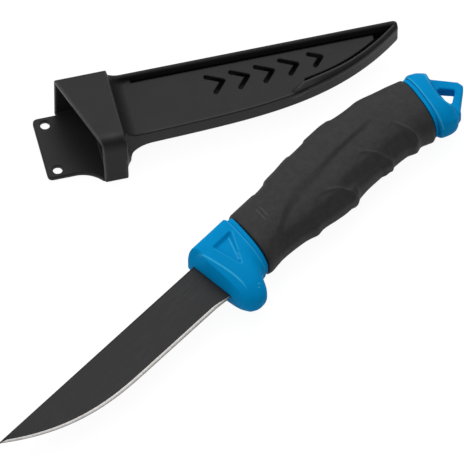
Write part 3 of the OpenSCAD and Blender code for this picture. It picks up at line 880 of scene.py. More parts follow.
@dataclass
class GripSleeve:
    """The rubber sleeve, with its finger lobes, its long crease and its crescent flutes."""

    place: Place
    front: float = 20.1
    length: float = 86.0
    rise: float = 16.1
    drop: float = 16.35
    thickness: float = 21.0
    wall: float = 3.3
    leans: Pair = (0.165, 0.26)
    section: Section = Section(2.5, 2.5)
    end_radius: float = 0.5
    runs: Runs = ((0.0, 1.0, 360), (0.0, 0.006, 5), (0.994, 1.0, 5))
    inner_stations: int = 60
    columns: int = 220
    size: Pair = (14.0, 10.0)
    back: Track = Track((
        (0, .79), (.02, .839), (.143, .839), (.158, .82), (.221, .857), (.233, .9), (.3, .931), (.376, .971),
        (.391, .949), (.477, .967), (.492, 1), (.56, 1), (.616, .974), (.638, .925), (.738, .857),
        (.765, .851), (.86, .722), (.978, .538), (1, .5),
    ))
    belly: Track = Track((
        (0, .7), (.02, .72), (.092, .692), (.21, .73), (.247, .768), (.29, .825), (.32, .806), (.392, .856),
        (.452, .894), (.518, .913), (.55, .837), (.626, .806), (.685, .812), (.71, .856), (.746, .875),
        (.762, .831), (.84, .856), (.885, .945), (.923, .894), (.962, .958), (.985, 1), (1, .97),
    ))
    half: Track = Track((
        (0, .85), (.03, .87), (.15, .92), (.35, .98), (.5, 1), (.7, .99), (.9, .93), (.98, .89), (1, .87),
    ))
    crease: Track = Track((
        (19, -12), (22, -10), (28, -6.4), (34, -3.4), (40, -0.9), (47, 0.4), (56, 0.5), (63, 1.2), (75, 1.5),
        (85, 1.5), (106, 1.2),
    ))
    crease_ends: Pair = (19.0, 92.0)
    crease_swell: Pair = (8.0, 16.0)
    crease_depth: float = 0.9
    crease_width: Track = Track((
        (19, 2.4), (34, 2.8), (44, 4.6), (54, 4.2), (62, 2.8), (72, 2.2), (90, 2.2),
    ))
    scallops: tuple[Pairs, ...] = (
        ((20.5, -12.0), (28, -8.2), (36, -8.6), (44, -8.0), (48.5, -6.6), (50.6, -6.8), (53.6, -7.9),
         (57.4, -10.2), (60.2, -13.0), (61.6, -16.0), (61.5, -21.0), (20.0, -21.0)),
        ((57.0, -15.0), (60, -9.4), (66, -8.0), (70.5, -5.8), (72.6, -5.4), (74.8, -6.6), (77.4, -9.6),
         (80.0, -12.6), (81.4, -15.4), (81.2, -21.0), (57.0, -21.0)),
        ((77.0, -15.0), (80.0, -9.6), (85, -7.4), (88.2, -5.0), (89.8, -4.8), (91.2, -7.4), (92.7, -10.6),
         (93.8, -13.6), (94.2, -16.4), (93.8, -21.0), (77.0, -21.0)),
    )
    lip_depth: float = 0.32
    ridge_height: float = 0.08
    flutes: tuple[Pairs, ...] = (
        ((21.0, -7.6), (29.4, -8.6), (36.7, -10.3), (44.9, -11.2), (51.2, -11.3), (57.0, -12.0),
         (60.2, -14.0), (61.3, -21.0), (20.0, -21.0)),
        ((56.7, -9.8), (60.6, -9.3), (69.4, -9.7), (75.4, -10.1), (79.2, -11.4), (81.0, -14.0), (81.2, -21.0),
         (57.0, -21.0)),
        ((77.0, -10.8), (80.4, -10.5), (86.3, -10.8), (91.2, -11.4), (93.0, -14.0), (93.8, -21.0),
         (77.0, -21.0)),
    )
    flute_depth: float = 1.75
    flute_rise: float = 0.9
    flute_wall: float = 4.4
    flute_steep: float = 2.4
    deepest_share: float = 0.3
    marks: tuple[Pairs, ...] = (((29.2, 5.3), (28.3, 0.2)), ((30.9, 4.9), (30.1, 0.8)))

    def rings(self, share: Array) -> Rings:
        """Returns the plain sections at shares of the grip's length."""
        return Rings(
            self.front + self.length * share,
            self.leans[0] + (self.leans[1] - self.leans[0]) * share,
            -self.drop * self.belly.at(share),
            self.rise * self.back.at(share),
            self.thickness / 2.0 * self.half.at(share),
        )

    def carved(self, points: Array) -> Array:
        """Returns the points with the crease and the finger scallops pressed into both flanks.

        The depth falls softly across the crease and comes back below it. Each scallop adds a thin
        lip along its crescent, with a low ridge outside it, and a flute whose depth is reached
        over a few millimetres across its own outline, over fewer at its rear, and partly given
        back towards the belly. The sum is taken off the height, and fades where the flank turns
        over.

        Args:
            points: Points by ring, point and axis.

        Returns:
            The moved points.
        """
        x, y, z = np.moveaxis(points, -1, 0)
        below = self.crease.at(x) - y
        start, end = self.crease_ends
        front, rear = self.crease_swell
        swell = ease((x - start) / front) * ease((end - x) / rear)
        wide = self.crease_width.at(x)
        past = np.exp(-np.clip(below - 0.7 * wide, 0.0, None) / 7.0)
        depth = self.crease_depth * swell * ease(below / wide + 0.3) * past
        for outline, flute in zip(self.scallops, self.flutes):
            rear = outline[CRESCENT]
            inside = -outline_distance(x, y, outline)
            away = path_distance(x, y, rear)
            lip = self.lip_depth * np.exp(-away / 2.5) * ease(inside / 1.1)
            ridge = self.ridge_height * ease(1.0 - away / 2.0) * stroke(inside + 0.45, 0.5)
            wide = self.flute_wall - self.flute_steep * ease(1.0 - path_distance(x, y, rear[-2:]) / 5.0)
            deep = -outline_distance(x, y, flute)
            fall = self.flute_depth * ease(deep / wide + 0.45) * ease((x - flute[0][0] + 1.5) / 7.0)
            fall = fall * (1.0 - self.flute_rise * ease((deep - 0.7) / 3.9))
            depth = depth + lip + fall - ridge
        flank = ease((np.abs(z) - 1.0) / 6.0)
        moved = z - np.sign(z) * np.minimum(depth * flank, np.abs(z) * self.deepest_share)
        return np.stack([x, y, moved], -1)

    def highlight_and_wear(self, x: Array, y: Array, z: Array) -> Array:
        """Returns how pale the surface is painted, from 0 to 1: two short pale marks near the front, and
        painted highlights along the crescents' rims.
        """
        marks = np.minimum.reduce([path_distance(x, y, ends) for ends in self.marks])
        paler_marks = 0.7 * stroke(marks, 0.26) * (z > 2.0)
        for outline in self.scallops:
            outside = outline_distance(x, y, outline)
            # Painted highlight along each crescent's rim
            rim = 0.45 * stroke(path_distance(x, y, outline[CRESCENT][1:]), 1.2) * stroke(outside - 0.4, 0.35)
            paler_marks = np.maximum(paler_marks, rim * (np.abs(z) > 1.0))
        return paler_marks

    def build(self) -> None:
        """Builds and dresses the sleeve: its outer skin, and the inner one turned back through it."""
        share = placed(self.runs)
        rings = self.rings(share)
        outer = rings.drawn_in(round_inset(share * self.length, self.length, self.end_radius))
        angle = self.section.angles(self.columns, *self.size)
        skin = self.carved(outer.points(self.section, angle))
        few = np.linspace(1.0, 0.0, self.inner_stations)
        inner = self.rings(few).drawn_in(self.wall).points(self.section, angle)
        rows = np.concatenate([skin, inner])
        sleeve = Skin(rows.reshape(-1, 3), grid_quads(len(rows), self.columns, True, True)).outward()
        piece = sleeve.piece("rubber_grip", self.place)
        store_highlight_and_wear(piece, self.place, self.highlight_and_wear)
        settle(piece, Body.KNIFE, "grip_sleeve", Slot.RUBBER, RUBBER.material())


@dataclass
class HandleCore:
    """The blue core: bolster with guard and recesses, hidden bar, rear ring and spigot."""

    place: Place
    grip: GripSleeve
    blue: bpy.types.Material
    length: float = 19.8
    rise: float = 12.3
    drop: float = 19.6
    thickness: float = 17.6
    lean: float = 0.165
    section: Section = Section(8.0, 3.5)
    taper: float = 0.4
    edge_radius: float = 0.35
    runs: Runs = ((0.0, 1.0, 130), (0.0, 0.25, 60), (0.0, 0.02, 8), (0.88, 0.92, 16), (0.98, 1.0, 6))
    columns: int = 400
    size: Pair = (15.0, 8.8)
    ridge: Track = Track(((-19, 0.6), (-17.5, 1.5), (-15.6, 2.6), (-13.65, 3.25), (-11.2, 3.65), (-8, 3.7),
                          (-4.3, 3.5), (0.25, 3.05), (4.6, 2.5), (8.8, 1.75), (11.5, 1.1)))
    strip_slope: float = 0.36
    face: tuple[float, float, float, float] = (1.0, 6.7, 1.25, 1.1)
    back: Track = Track((
        (0, .965), (.03, .985), (.065, .997), (.11, 1), (.165, 1), (.862, 1), (.885, .955), (.9, .9),
        (.978, .89), (1, .875)))
    belly: Track = Track((
        (0, .79), (.03, .85), (.065, .895), (.11, .935), (.165, .965), (.21, .985), (.3, 1), (.4, .995),
        (.5, .97), (.6, .885), (.68, .75), (.75, .645), (.82, .6), (.897, .585), (.908, .567),
        (.978, .562), (1, .55)))
    half: Track = Track((
        (0, .975), (.2, .99), (.4, 1), (.888, 1), (.9, .95), (.906, .935), (.914, .953), (.978, .953),
        (1, .94)))
    recess: Pairs = ((6.8, 6.4), (16.9, 6.5), (8.8, -7.4))
    recess_depth: float = 1.3
    recess_wall: float = 1.15
    recess_radius: float = 0.8
    recess_bend: float = 0.3
    ticks: tuple[Pairs, ...] = (((7.7, -15.2), (8.5, -15.6)), ((6.8, -16.2), (7.4, -16.5)))
    ring_foot: float = 106.4
    ring_length: float = 1.5
    ring_edge: float = 0.25
    ring_stations: int = 24
    ring_size: tuple[int, float, float] = (180, 11.5, 8.8)
    bar_stations: tuple[float, ...] = (0.0, 0.1, 0.25, 0.4, 0.55, 0.7, 0.8, 0.9, 0.96, 1.0)
    bar_gap: float = 0.1
    bar_reach: float = 0.8
    bar_size: tuple[int, float, float] = (64, 11.0, 6.5)
    spigot_size: tuple[int, float, float] = (64, 7.0, 4.4)
    spigot_ends: Pair = (107.4, 112.6)

    def fronted(self, points: Array) -> Array:
        """Returns the points with the front's face and the tilted strip above it cut into both flanks.

        The height is held under two surfaces. The face rises from the blade by the power 2/3 of
        the place along, over a longer reach near the back; the strip falls from its ridge, whose
        place changes across the bolster, at one slope. Their meeting line and the ridge are rounded.

        Args:
            points: Points by ring, point and axis.

        Returns:
            The moved points.
        """
        x, y, z = np.moveaxis(points, -1, 0)
        up = np.abs(z)
        foot, rise, reach, more = self.face
        reach = reach + more * ease((y - 3.0) / 7.0)
        face = foot + rise * (np.clip(x, 0.0, None) / reach) ** (2.0 / 3.0)
        strip = up - self.strip_slope * np.clip(self.ridge.at(y) - x, 0.0, None)
        strip = np.where(x < self.ridge.at(y), strip, up)
        return np.stack([x, y, np.sign(z) * np.clip(soft_min(strip, face, 0.8), 0.0, up)], -1)

    def recessed(self, points: Array) -> Array:
        """Returns the points with the three-cornered recess pressed into both flanks.

        The depth is the full one, times the distance inside a triangle with rounded corners over
        the wall's width, held at 1 with its corner rounded.

        Args:
            points: Points by ring, point and axis.

        Returns:
            The moved points.
        """
        x, y, z = np.moveaxis(points, -1, 0)
        share = -outline_distance(x, y, rounded(self.recess, self.recess_radius)) / self.recess_wall
        depth = self.recess_depth * np.clip(soft_min(share, np.ones_like(share), self.recess_bend), 0.0, 1.0)
        return np.stack([x, y, z - np.sign(z) * np.minimum(depth, np.abs(z) / 2.0)], -1)

    def highlight_and_wear(self, x: Array, y: Array, z: Array) -> Array:
        """Returns how pale the surface is painted, from 0 to 1: painted highlights along the front's ridge,
        the recess's walls and the rear step, and short scratches by the guard.
        """
        (ax, ay), (bx, by), (cx, cy) = self.recess
        left = span_distance(x, y, (cx - 0.1, cy + 1.4), (ax + 0.1, ay - 1.6))
        right_foot = span_distance(x, y, (bx - 2.6, by - 1.5), (cx + 1.3, cy + 3.6))
        right = span_distance(x, y, (bx - 0.2, by - 0.9), (cx + 0.6, cy + 1.2))
        slope = (self.ridge.at(y + 0.3) - self.ridge.at(y - 0.3)) / 0.6
        off = (x > 6.0) | (y > 9.6) | (y < -15.0)
        ridge = np.abs(x - self.ridge.at(y)) / np.hypot(1.0, slope) + 9.0 * off
        tick = np.minimum.reduce([path_distance(x, y, ends) for ends in self.ticks])
        step = np.abs((x - self.length * 0.875) / (1.0 + self.lean * y / self.length) - self.lean * y * 0.9)
        # Painted highlights on the ridge, the recess walls and the rear step; the ticks are light scratches
        lines = ((ridge, 0.28, 0.6 * ease((9.6 - y) / 5.0) * ease((y + 15.0) / 5.0)), (left, 0.22, 0.2),
                 (right_foot, 0.22, 0.6), (right, 0.2, 0.3), (step, 0.3, 0.25), (tick, 0.14, 0.6))
        paler_marks = np.maximum.reduce([size * stroke(gap, width) for gap, width, size in lines])
        return np.where((np.abs(z) > 2.0) & (x < 21.0), paler_marks, 0.0)

    def bolster(self) -> Skin:
        """Returns the bolster with its guard."""
        share = placed(self.runs)
        rings = Rings(self.length * share, self.lean * share, -self.drop * self.belly.at(share),
                      self.rise * self.back.at(share), self.thickness / 2.0 * self.half.at(share))
        rings = rings.drawn_in(round_inset(share * self.length, self.length, self.edge_radius))
        angle = self.section.angles(self.columns, *self.size)
        return tube(self.recessed(self.fronted(rings.points(self.section, angle, self.taper))))

    def stub(self, x: Array, inset: Array | float, *size: float) -> Skin:
        """Returns a leaning bar of the rear's section, drawn in by a distance.

        Args:
            x: Its stations.
            inset: How far its outline is drawn in.
            size: Count, half height and half thickness for the section's angles.

        Returns:
            The bar.
        """
        middle, reach = PommelCap.middle, PommelCap.height / 2.0
        rings = Rings(x, PommelCap.lean, middle - reach, middle + reach, self.thickness / 2.0)
        return tube(rings.drawn_in(inset).points(self.grip.section, self.grip.section.angles(*size)))

    def rear(self) -> Skin:
        """Returns the ring between the rubber and the groove."""
        place = self.ring_length * np.linspace(0.0, 1.0, self.ring_stations)
        inset = round_inset(place, self.ring_length, self.ring_edge)
        return self.stub(self.ring_foot + place, inset, *self.ring_size)

    def bar(self) -> Skin:
        """Returns the hidden bar through the rubber."""
        rings = self.grip.rings(np.array(self.bar_stations)).drawn_in(self.grip.wall + self.bar_gap)
        rings.x[[0, -1]] += (-self.bar_reach, self.bar_reach)
        return tube(rings.points(self.grip.section, self.grip.section.angles(*self.bar_size)))

    def spigot(self) -> Skin:
        """Returns the spigot that holds the cap."""
        return self.stub(np.array(self.spigot_ends), self.thickness / 4.0, *self.spigot_size)

    def build(self) -> None:
        """Builds and dresses the core."""
        skin = self.bolster().joined(self.rear()).joined(self.bar()).joined(self.spigot())
        piece = skin.piece("blue_core", self.place)
        store_highlight_and_wear(piece, self.place, self.highlight_and_wear)
        settle(piece, Body.KNIFE, "handle_core", Slot.BLUE, self.blue)


@dataclass
class PommelCap:
    """The blue cap behind the groove, with its lanyard loop."""

    place: Place
    blue: bpy.types.Material
    foot: float = 108.3
    length: float = 8.16
    lean: float = 0.26
    lean_size: float = 1.03
    middle: float = -4.204
    height: float = 23.1
    thickness: float = 17.6
    squareness: float = 2.5
    groove: float = 0.4
    loop_half: float = 2.5
    back: Track = Track(((0, 1.0), (.04, 1.03), (.15, 1.045), (.32, 1.0), (.55, .92), (.72, .82), (.84, .74),
                         (.93, .66), (1, .6)))
    belly: Track = Track(((0, 1.13), (.04, 1.16), (.15, 1.2), (.32, 1.24), (.55, 1.27), (.72, 1.25),
                          (.84, 1.18), (.93, 1.1), (1, 1.0)))
    half: Track = Track(((0, .96), (.05, .98), (.15, 1.0), (.4, .99), (.66, .96), (1, .9)))
    rear_edge: Track = Track((
        (-17, 116.3), (-13, 114.2), (-8.9, 112.9), (-3.5, 113.2), (1, 114.2), (6, 114.9)))
    rear_height: float = 8.35
    rear_normal: Pair = (0.917, 0.4)
    loop: Pairs = (
        (110.99, 4.62), (114.6, 3.5), (116.6, 1.5), (122.9, -7.4), (123.08, -9.93), (115.6, -15.4),
        (113.4, -17.3), (110.7, -18.1), (108.1, -15.9))
    loop_radius: float = 1.0
    eye: Pairs = ((115.1, -3.2), (119.6, -9.0), (113.4, -12.8))
    eye_radius: float = 0.9
    box: Box = ((102.0, -21.0, -9.6), (124.2, 9.6, 9.6))
    cell: float = 0.22

    def solid(self, x: Array, y: Array, z: Array) -> Array:
        """Returns the cap's field.

        A leaning body whose section changes with the place along it, cut by a steep rear face,
        blended with the loop's rounded plate, less the eye, and with a groove at its foot.

        Args:
            x: Places along.
            y: Places across.
            z: Heights.

        Returns:
            The field, below zero inside.
        """
        up = np.abs(z)
        along = x - self.lean * y
        share = np.clip((along - self.foot) / self.length, 0.0, 1.0)
        reach = self.height / 2.0
        high = self.middle + reach * self.back.at(share)
        low = self.middle - reach * self.belly.at(share)
        half = self.thickness / 2.0 * self.half.at(share)
        neck = self.groove * (along < self.foot)
        middle, tall = (high + low) / 2.0, (high - low) / 2.0
        wide, broad = np.abs(y - middle) / (tall - neck), up / (half - neck)
        size = (wide ** self.squareness + broad ** self.squareness) ** (1.0 / self.squareness) + 1e-9
        body = (size - 1.0) * np.minimum(tall, half) * (0.75 + 0.25 * np.clip(wide, 0.0, 1.0))
        slope, fall = self.rear_normal
        steep = slope * (along - self.rear_edge.at(y)) + fall * (up - self.rear_height)
        body = soft_max(body, steep / self.lean_size, 0.35)
        body = soft_max(body, (along - self.foot - self.length) / self.lean_size, 0.8)
        body = soft_max(body, (self.foot - 0.45 - along) / self.lean_size, 0.1)
        plate = outline_distance(x, y, rounded(self.loop, self.loop_radius, 4))
        ring = soft_max(plate, up - self.loop_half, 1.1)
        whole = soft_min(body, ring, 0.7 + 2.6 * ease((-9.0 - y) / 6.0))
        hole = outline_distance(x, y, rounded(self.eye, self.eye_radius, 5))
        return soft_max(whole, -hole, 0.9)

    def highlight_and_wear(self, x: Array, y: Array, z: Array) -> Array:
        """Returns the painted highlights, from 0 to 1: along the groove's lip and the top's rear edge."""
        along = x - self.lean * y
        # Painted highlights along the groove's lip and the top's rear edge
        lip = 0.5 * stroke(along - self.foot - 0.35, 0.22)
        rear = 0.55 * stroke(along - self.rear_edge.at(y) - 0.1, 0.25) * (np.abs(z) > 6.6)
        return np.maximum(lip, rear) * (np.abs(z) > 2.0)

    def build(self) -> None:
        """Builds and dresses the cap."""
        skin = field_skin(self.solid, *self.box, self.cell)
        piece = skin.piece("blue_pommel", self.place)
        store_highlight_and_wear(piece, self.place, self.highlight_and_wear)
        settle(piece, Body.KNIFE, "pommel_cap", Slot.BLUE, self.blue)


@dataclass
class Sheath:
    """The moulded sheath: collar, mouth, screw tab, hollow shoulder, slotted case and rims."""

    place: Place
    length: float = 127.5
    collar: float = 19.4
    height: float = 22.0
    width: float = 34.0
    mouth_slope: float = 0.3385
    stop: float = 12.4
    roof: float = 20.0
    floor: float = 1.8
    wall: float = 1.1
    case_start: float = 29.0
    case_width: float = 25.7
    case_taper: Triple = (3.3, 20.2, 3.75)
    case_low: float = 7.5
    case_high: float = 14.3
    case_skin: float = 1.2
    case_wall: float = 0.9
    tip_wall: float = 1.6
    rim_top: float = 16.4
    back_rim_top: float = 16.8
    rim_width: float = 1.6
    brow: Pair = (0.62, 3.4)
    front_slant: Pair = (22.0, 2.0)
    drop: float = 6.2
    under: Pair = (11.6, 8.4)
    shoulder: Pair = (5.1, 0.9)
    front_rim: Track = Track((
        (84, 1.2), (86.5, 2.0), (89.3, 3.0), (96, 2.6), (107.5, 2.05), (118, 1.95), (124, 2.0)))
    front_rim_start: float = 84.4
    front_rim_edge: float = 15.2
    front_slot: float = 1.6
    front_slot_start: float = 89.35
    panel_end: float = 117.8
    back_slot: Pair = (-1.6, -2.8)
    back_slot_start: float = 28.0
    tab_reach: float = 8.6
    tab_edges: Pair = (-1.9, -28.4)
    tab_sweep: Triple = (1.48, -39.88, 11.48)
    hole_x: float = -4.45
    holes: Pair = (-5.2, -25.2)
    hole_radius: float = 1.8
    arrow_start: float = 41.2
    arrow_step: float = 9.2
    arrow_depth: Pair = (9.6, 0.42)
    arrow_turns: Pair = (153.8, 229.8)
    arrow_arms: Pair = (6.4, 5.7)
    arrow_backs: tuple[float, ...] = (1, 1, 1, 1, .72)
    arrow_fronts: tuple[float, ...] = (1, 1, .925, .85, .76)
    arrow_half: float = 0.8
    front_merge: Triple = (1.4, 91.0, 5.0)
    back_merge: Triple = (1.9, 28.5, 4.0)
    box: Box = ((-9.2, -34.4, -0.6), (127.9, 0.6, 22.7))
    cell: float = 0.3
    most_triangles: float = 170000.0

    def case_front(self, x: Array) -> Array:
        """Returns the front of the case: it narrows evenly, and then by a power of the distance."""
        share = np.clip((x - self.case_start) / (self.length - self.case_start), 0.0, None)
        even, more, power = self.case_taper
        return -self.case_width + even * share + more * share ** power

    def front_gap(self, x: Array, y: Array, z: Array) -> Array:
        """Returns the distance past the front of the case, below zero inside it.

        The distance to the front's curve, and past the shoulder that to a quarter ellipse, which
        is long at the table and short at the panel.

        Args:
            x: Places along.
            y: Places across.
            z: Heights.

        Returns:
            The distances.
        """
        slope = (self.case_front(x + 0.1) - self.case_front(x - 0.1)) / 0.2
        straight = (self.case_front(x) - y) / np.sqrt(1.0 + slope * slope)
        long, short = self.shoulder
        reach = short + (long - short) * ease((9.0 - z) / 9.0)
        start = self.collar + 0.5 + reach
        hollow = -hollow_distance(x, y, (start, -self.width), (reach, self.width - self.case_width))
        return np.where(x < start, hollow, straight)

    def arrows(self, x: Array, y: Array) -> Array:
        """Returns the distance to the arrow slots: two round-ended arms from each apex."""
        nearest = np.full(np.broadcast(x, y).shape, 99.0)
        for i, (back, front) in enumerate(zip(self.arrow_backs, self.arrow_fronts)):
            px = self.collar + self.arrow_start + self.arrow_step * i
            deepest, share = self.arrow_depth
            py = -min(deepest, -float(self.case_front(np.array(px))) * share)
            for degrees, reach, size in zip(self.arrow_turns, self.arrow_arms, (back, front)):
                turn, arm = math.radians(degrees), reach * size
                end = (px + arm * math.cos(turn), py + arm * math.sin(turn))
                nearest = np.minimum(nearest, span_distance(x, y, (px, py), end))
        return nearest - self.arrow_half

    def solid(self, x: Array, y: Array, z: Array) -> Array:
        """Returns the sheath's field.

        The collar's section, the hollow curves of the shoulder and the case's faces bound one
        body. The rims and the tab are added; the cavity, the channel, the slots and the screw
        holes are taken away.

        Args:
            x: Places along.
            y: Places across.
            z: Heights.

        Returns:
            The field, below zero inside.
        """
        rise, run = self.front_slant
        front = (-rise * (y + self.width) + run * z) / math.hypot(rise, run)
        flat, bend = self.brow
        section = soft_max(soft_max((z - self.height) * flat, front, bend), soft_max(y, -z, 0.9), 1.1)
        drop_x, under_x = self.collar + self.drop, self.collar + self.under[0]
        over = -hollow_distance(x, z, (drop_x, self.height), (self.drop, self.height - self.case_high))
        top = np.where(x < drop_x, over, z - self.case_high)
        below = -hollow_distance(x, z, (under_x, 0.0), (self.under[1], self.case_low))
        under = np.where(x < under_x, below, self.case_low - z)
        gap = self.front_gap(x, y, z)
        tip = x - self.length
        plan = soft_max(soft_max(gap, tip, 0.9), y, 2.2)
        body = soft_max(section, soft_max(soft_max(top, under, 0.3), plan, 0.4), 0.5)
        mouth = -(x + self.mouth_slope * y) / math.hypot(1.0, self.mouth_slope)
        body = soft_max(body, mouth, 0.4)
        merge = 0.25
        for (size, end, reach), there in ((self.front_merge, y < -10.0), (self.back_merge, y > -8.0)):
            merge = merge + size * ease((end - x) / reach) * there
        body = soft_min(body, self.rims(x, y, z, gap, plan), merge)
        body = soft_min(body, self.tab(x, y, z), 0.25)
        cavity = soft_max(z - self.roof, soft_max(y + self.wall, front + self.wall, 0.3), 0.6)
        cavity = np.maximum(soft_max(cavity, x - self.stop, 0.5), self.floor - z)
        body = soft_max(body, -cavity, 0.02 + 0.38 * ease(z - self.floor - 0.2))
        belly = np.where(x < self.case_start, self.case_wall - self.case_width - y, gap + self.case_wall)
        low, high = self.case_low + self.case_skin, self.case_high - self.case_skin
        room = common(low - z, z - self.case_high + self.case_skin, y + self.case_wall, belly,
                      x - self.length + self.tip_wall, self.stop - 0.5 - x)
        body = np.maximum(body, -room)
        rim = self.front_rim.at(x)
        start, end = self.back_slot
        back_slot = common(y - start, end - y, self.back_slot_start - x)
        front_slot = common(gap + rim, -gap - rim - self.front_slot, self.front_slot_start - x)
        between = np.maximum(y - start, gap + rim)
        along = np.maximum(np.minimum(back_slot, front_slot), between)
        well = np.maximum(between, self.panel_end - x)
        cuts = np.minimum(np.minimum(along, well), self.arrows(x, y))
        slots = np.maximum(cuts, high - 0.3 - z)
        return soft_max(body, -slots, 0.25)

    def rims(self, x: Array, y: Array, z: Array, gap: Array, plan: Array) -> Array:
        """Returns the field of both rims: rounded beads along the back and along the front's end.

        The front bead's top slopes down towards the wall, and its width changes along the case.

        Args:
            x: Places along.
            y: Places across.
            z: Heights.
            gap: Distance past the front of the case.
            plan: The case's outline, below zero inside.

        Returns:
            The field, below zero inside the rims.
        """
        inner = soft_max(-gap - self.front_rim.at(x), self.front_rim_start - x, 0.5)
        slope = 0.3 + 0.4 * ease((x - 90.0) / 8.0)
        sloped = (z - self.front_rim_edge + slope * gap) / np.hypot(1.0, slope)
        front = soft_max(inner, soft_max(z - self.rim_top, sloped, 0.6), 0.8)
        back = soft_max(-self.rim_width - y, z - self.back_rim_top, 1.3)
        both = soft_max(np.minimum(front, back), soft_max(plan, self.collar - x, 0.4), 0.5)
        return np.maximum(both, self.case_high - 1.0 - z)

    def highlight_and_wear(self, x: Array, y: Array, z: Array) -> Array:
        """Returns the painted highlights, from 0 to 1: the mouth, the collar's rear edge and brow, the front
        bead, and a line along the case's front.
        """
        mouth = np.abs(x + self.mouth_slope * y) / math.hypot(1.0, self.mouth_slope)
        # Painted highlights along the mouth, the collar's rear edge and brow, the front bead and the case's
        # front edge
        rim = 0.75 * stroke(mouth, 0.45) * (z > self.floor + 0.4)
        edge = stroke(x - self.collar, 0.5) * ((z > 20.5) | (y < 1.0 - self.width))
        edge = edge * (0.4 + 0.5 * ease((y + 4.0) / 3.0))
        gap = self.front_gap(x, y, z)
        bead = 0.4 * stroke(gap + self.front_rim.at(x) - 0.5, 0.35) * (z > 15.3) * (x > 86.0)
        line = 0.3 * stroke(gap + 0.5, 0.28) * (z > 14.0) * (x > 28.0) * (x < 84.0)
        brow = 0.24 * stroke(x - 15.0, 3.5) * stroke(y + 28.6, 1.3) * (z > 19.0)
        return np.maximum.reduce([rim, edge, bead, line, brow])

    def tab(self, x: Array, y: Array, z: Array) -> Array:
        """Returns the field of the screw tab: a plate with one swept edge and two round holes."""
        sweep_x, sweep_y, radius = self.tab_sweep
        near = np.where(x < sweep_x, self.tab_edges[1] - y, radius - np.hypot(x - sweep_x, y - sweep_y))
        near = np.maximum(near, 1.0 - self.width - y)
        sides = soft_max(near, -self.tab_reach - x, 2.1)
        sides = soft_max(sides, y - self.tab_edges[0], 2.1)
        tab = soft_max(np.maximum(sides, x - self.stop), soft_max(z - self.floor, -z, 0.2), 0.35)
        for hole in self.holes:
            tab = soft_max(tab, self.hole_radius - np.hypot(x - self.hole_x, y - hole), 0.2)
        return tab

    def build(self) -> None:
        """Builds and dresses the sheath."""
        skin = field_skin(self.solid, *self.box, self.cell)
        piece = skin.piece("sheath_moulding", self.place)
        thinned(piece, min(1.0, self.most_triangles / (2.0 * len(skin.quads))))
        piece.data.shade_smooth()
        store_highlight_and_wear(piece, self.place, self.highlight_and_wear)
        settle(piece, Body.SHEATH, "sheath", Slot.SHEATH, SHEATH_PLASTIC.material())


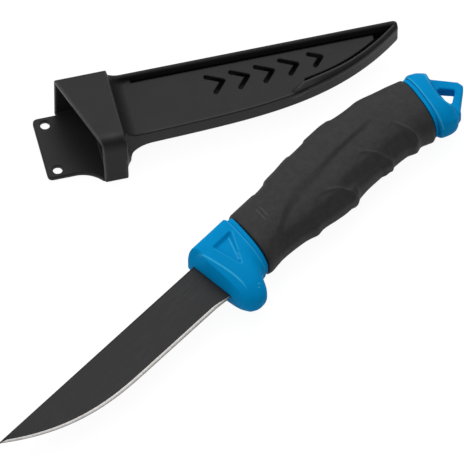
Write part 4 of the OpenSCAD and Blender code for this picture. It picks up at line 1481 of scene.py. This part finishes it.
@dataclass
class Studio:
    """Pale floor, a soft lamp and the camera at the photograph's viewing angle."""

    azimuth: float = -13.5
    elevation: float = 56.0
    field_mm: float = 166.9
    sensor_mm: float = 36.0
    distance: float = 7.5
    aim: Triple = (4.9, 5.6, 0.0)
    lamp_spot: Triple = (0.2, 0.6, 1.15)
    lamp_size: float = 0.9
    lamp_power: float = 5.2
    bright_side: Triple = (-0.44, 0.56, 0.70)
    sky: Pair = (0.17, 1.0)
    sky_turn: Pair = (-0.15, 0.6)
    floor_reach: float = 3.0
    floor_height: float = -1e-5
    floor_glow: float = 0.94

    def add(self, data: bpy.types.ID, spot: Vector, away: Vector) -> bpy.types.Object:
        """Returns a new object of the data's name at a spot, with its back turned to a direction."""
        thing = bpy.data.objects.new(data.name, data)
        thing.matrix_world = Matrix.Translation(spot) @ away.to_track_quat("Z", "Y").to_matrix().to_4x4()
        bpy.context.scene.collection.objects.link(thing)
        return thing

    def camera(self) -> None:
        """Adds the camera with a long lens."""
        turn, tilt = math.radians(self.azimuth), math.radians(self.elevation)
        away = Vector((math.sin(turn) * math.cos(tilt), -math.cos(turn) * math.cos(tilt), math.sin(tilt)))
        data = bpy.data.cameras.new("camera")
        data.sensor_width = self.sensor_mm
        data.lens = data.sensor_width * self.distance / (self.field_mm * MM)
        data.clip_end = 20.0
        bpy.context.scene.camera = self.add(data, Vector(self.aim) * MM + away * self.distance, away)

    def lamp(self) -> None:
        """Adds the soft square lamp, which faces the middle of the table."""
        data = bpy.data.lights.new("key", "AREA")
        data.size = self.lamp_size
        data.energy = self.lamp_power
        self.add(data, Vector(self.lamp_spot), Vector(self.lamp_spot))

    def world(self) -> None:
        """Sets a soft sky, brighter on one side, that looks white to the camera."""
        world = bpy.data.worlds.new("studio")
        bpy.context.scene.world = world
        graph = Graph(world)
        look = graph.add("ShaderNodeTexCoord").outputs["Generated"]
        facing = graph.add("ShaderNodeVectorMath", {0: look, 1: self.bright_side}, operation="DOT_PRODUCT")
        glow = graph.levels(facing.outputs["Value"], *self.sky_turn, *self.sky, "SMOOTHSTEP")
        seen = graph.seen("Is Camera Ray", "Is Transmission Ray")
        graph.feed(graph.nodes["Background"], {
            "Color": (1.0, 1.0, 1.0, 1.0), "Strength": graph.levels(seen, 0.0, 1.0, glow, 1.0)})

    def floor(self) -> None:
        """Adds the floor: white to the camera, with the object's soft shadow on it."""
        mesh = bpy.data.meshes.new("floor")
        corners = ((-1.0, -1.0), (1.0, -1.0), (1.0, 1.0), (-1.0, 1.0))
        reach, height = self.floor_reach, self.floor_height
        mesh.from_pydata([(x * reach, y * reach, height) for x, y in corners], [], [(0, 1, 2, 3)])
        floor = bpy.data.objects.new("floor", mesh)
        bpy.context.scene.collection.objects.link(floor)
        material = bpy.data.materials.new("floor_card")
        mesh.materials.append(material)
        card = Graph(material)
        shader = card.feed(card.nodes["Principled BSDF"], {
            "Base Color": (0.8, 0.8, 0.8, 1.0), "Roughness": 0.9, "Specular IOR Level": 0.0}).outputs[0]
        pale = card.add("ShaderNodeBsdfDiffuse", {"Color": (0.1, 0.1, 0.1, 1.0)}).outputs[0]
        glow = card.add("ShaderNodeEmission", {"Strength": self.floor_glow}).outputs[0]
        both = card.add("ShaderNodeAddShader", {0: pale, 1: glow}).outputs[0]
        seen = card.seen("Is Camera Ray", "Is Glossy Ray", "Is Transmission Ray")
        mixed = card.add("ShaderNodeMixShader", {0: seen, 1: shader, 2: both})
        card.feed(card.nodes["Material Output"], {"Surface": mixed.outputs[0]})

    def build(self) -> None:
        """Sets the studio."""
        self.camera()
        self.world()
        self.floor()
        self.lamp()
        bpy.context.scene.view_settings.view_transform = "Standard"


def knife_place() -> Place:
    """Returns the knife's frame, from the blade's own points and the direction that it is drawn in."""
    along = np.array(frame["joints"][0]["axis"], float)
    along /= np.linalg.norm(along)
    across = np.array([-along[1], along[0], 0.0])
    points = points_of(frame["nodes"]["blade"]).astype(float)
    start = (points @ along).min() + Blade.length * MM
    middle = (points @ across).max() - Blade.height / 2.0 * MM
    height = (points[:, 2].min() + points[:, 2].max()) / 2.0
    return Place(along * start + across * middle + np.array([0.0, 0.0, height]), along)


def sheath_place() -> Place:
    """Returns the sheath's frame, from its node's box."""
    low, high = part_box("sheath")
    return Place(np.array([low.x + Sheath.tab_reach * MM, high.y, low.z]), np.array([1.0, 0.0, 0.0]))


def main() -> None:
    """Builds the knife, the sheath and the studio, in that order."""
    logging.basicConfig(level=logging.INFO, format="%(name)s %(message)s")
    knife, sheath = knife_place(), sheath_place()
    blue = BLUE.material()
    grip = GripSleeve(knife)
    Blade(knife).build()
    HandleCore(knife, grip, blue).build()
    grip.build()
    PommelCap(knife, blue).build()
    Sheath(sheath).build()
    Studio().build()


if __name__ == "__main__":
    main()
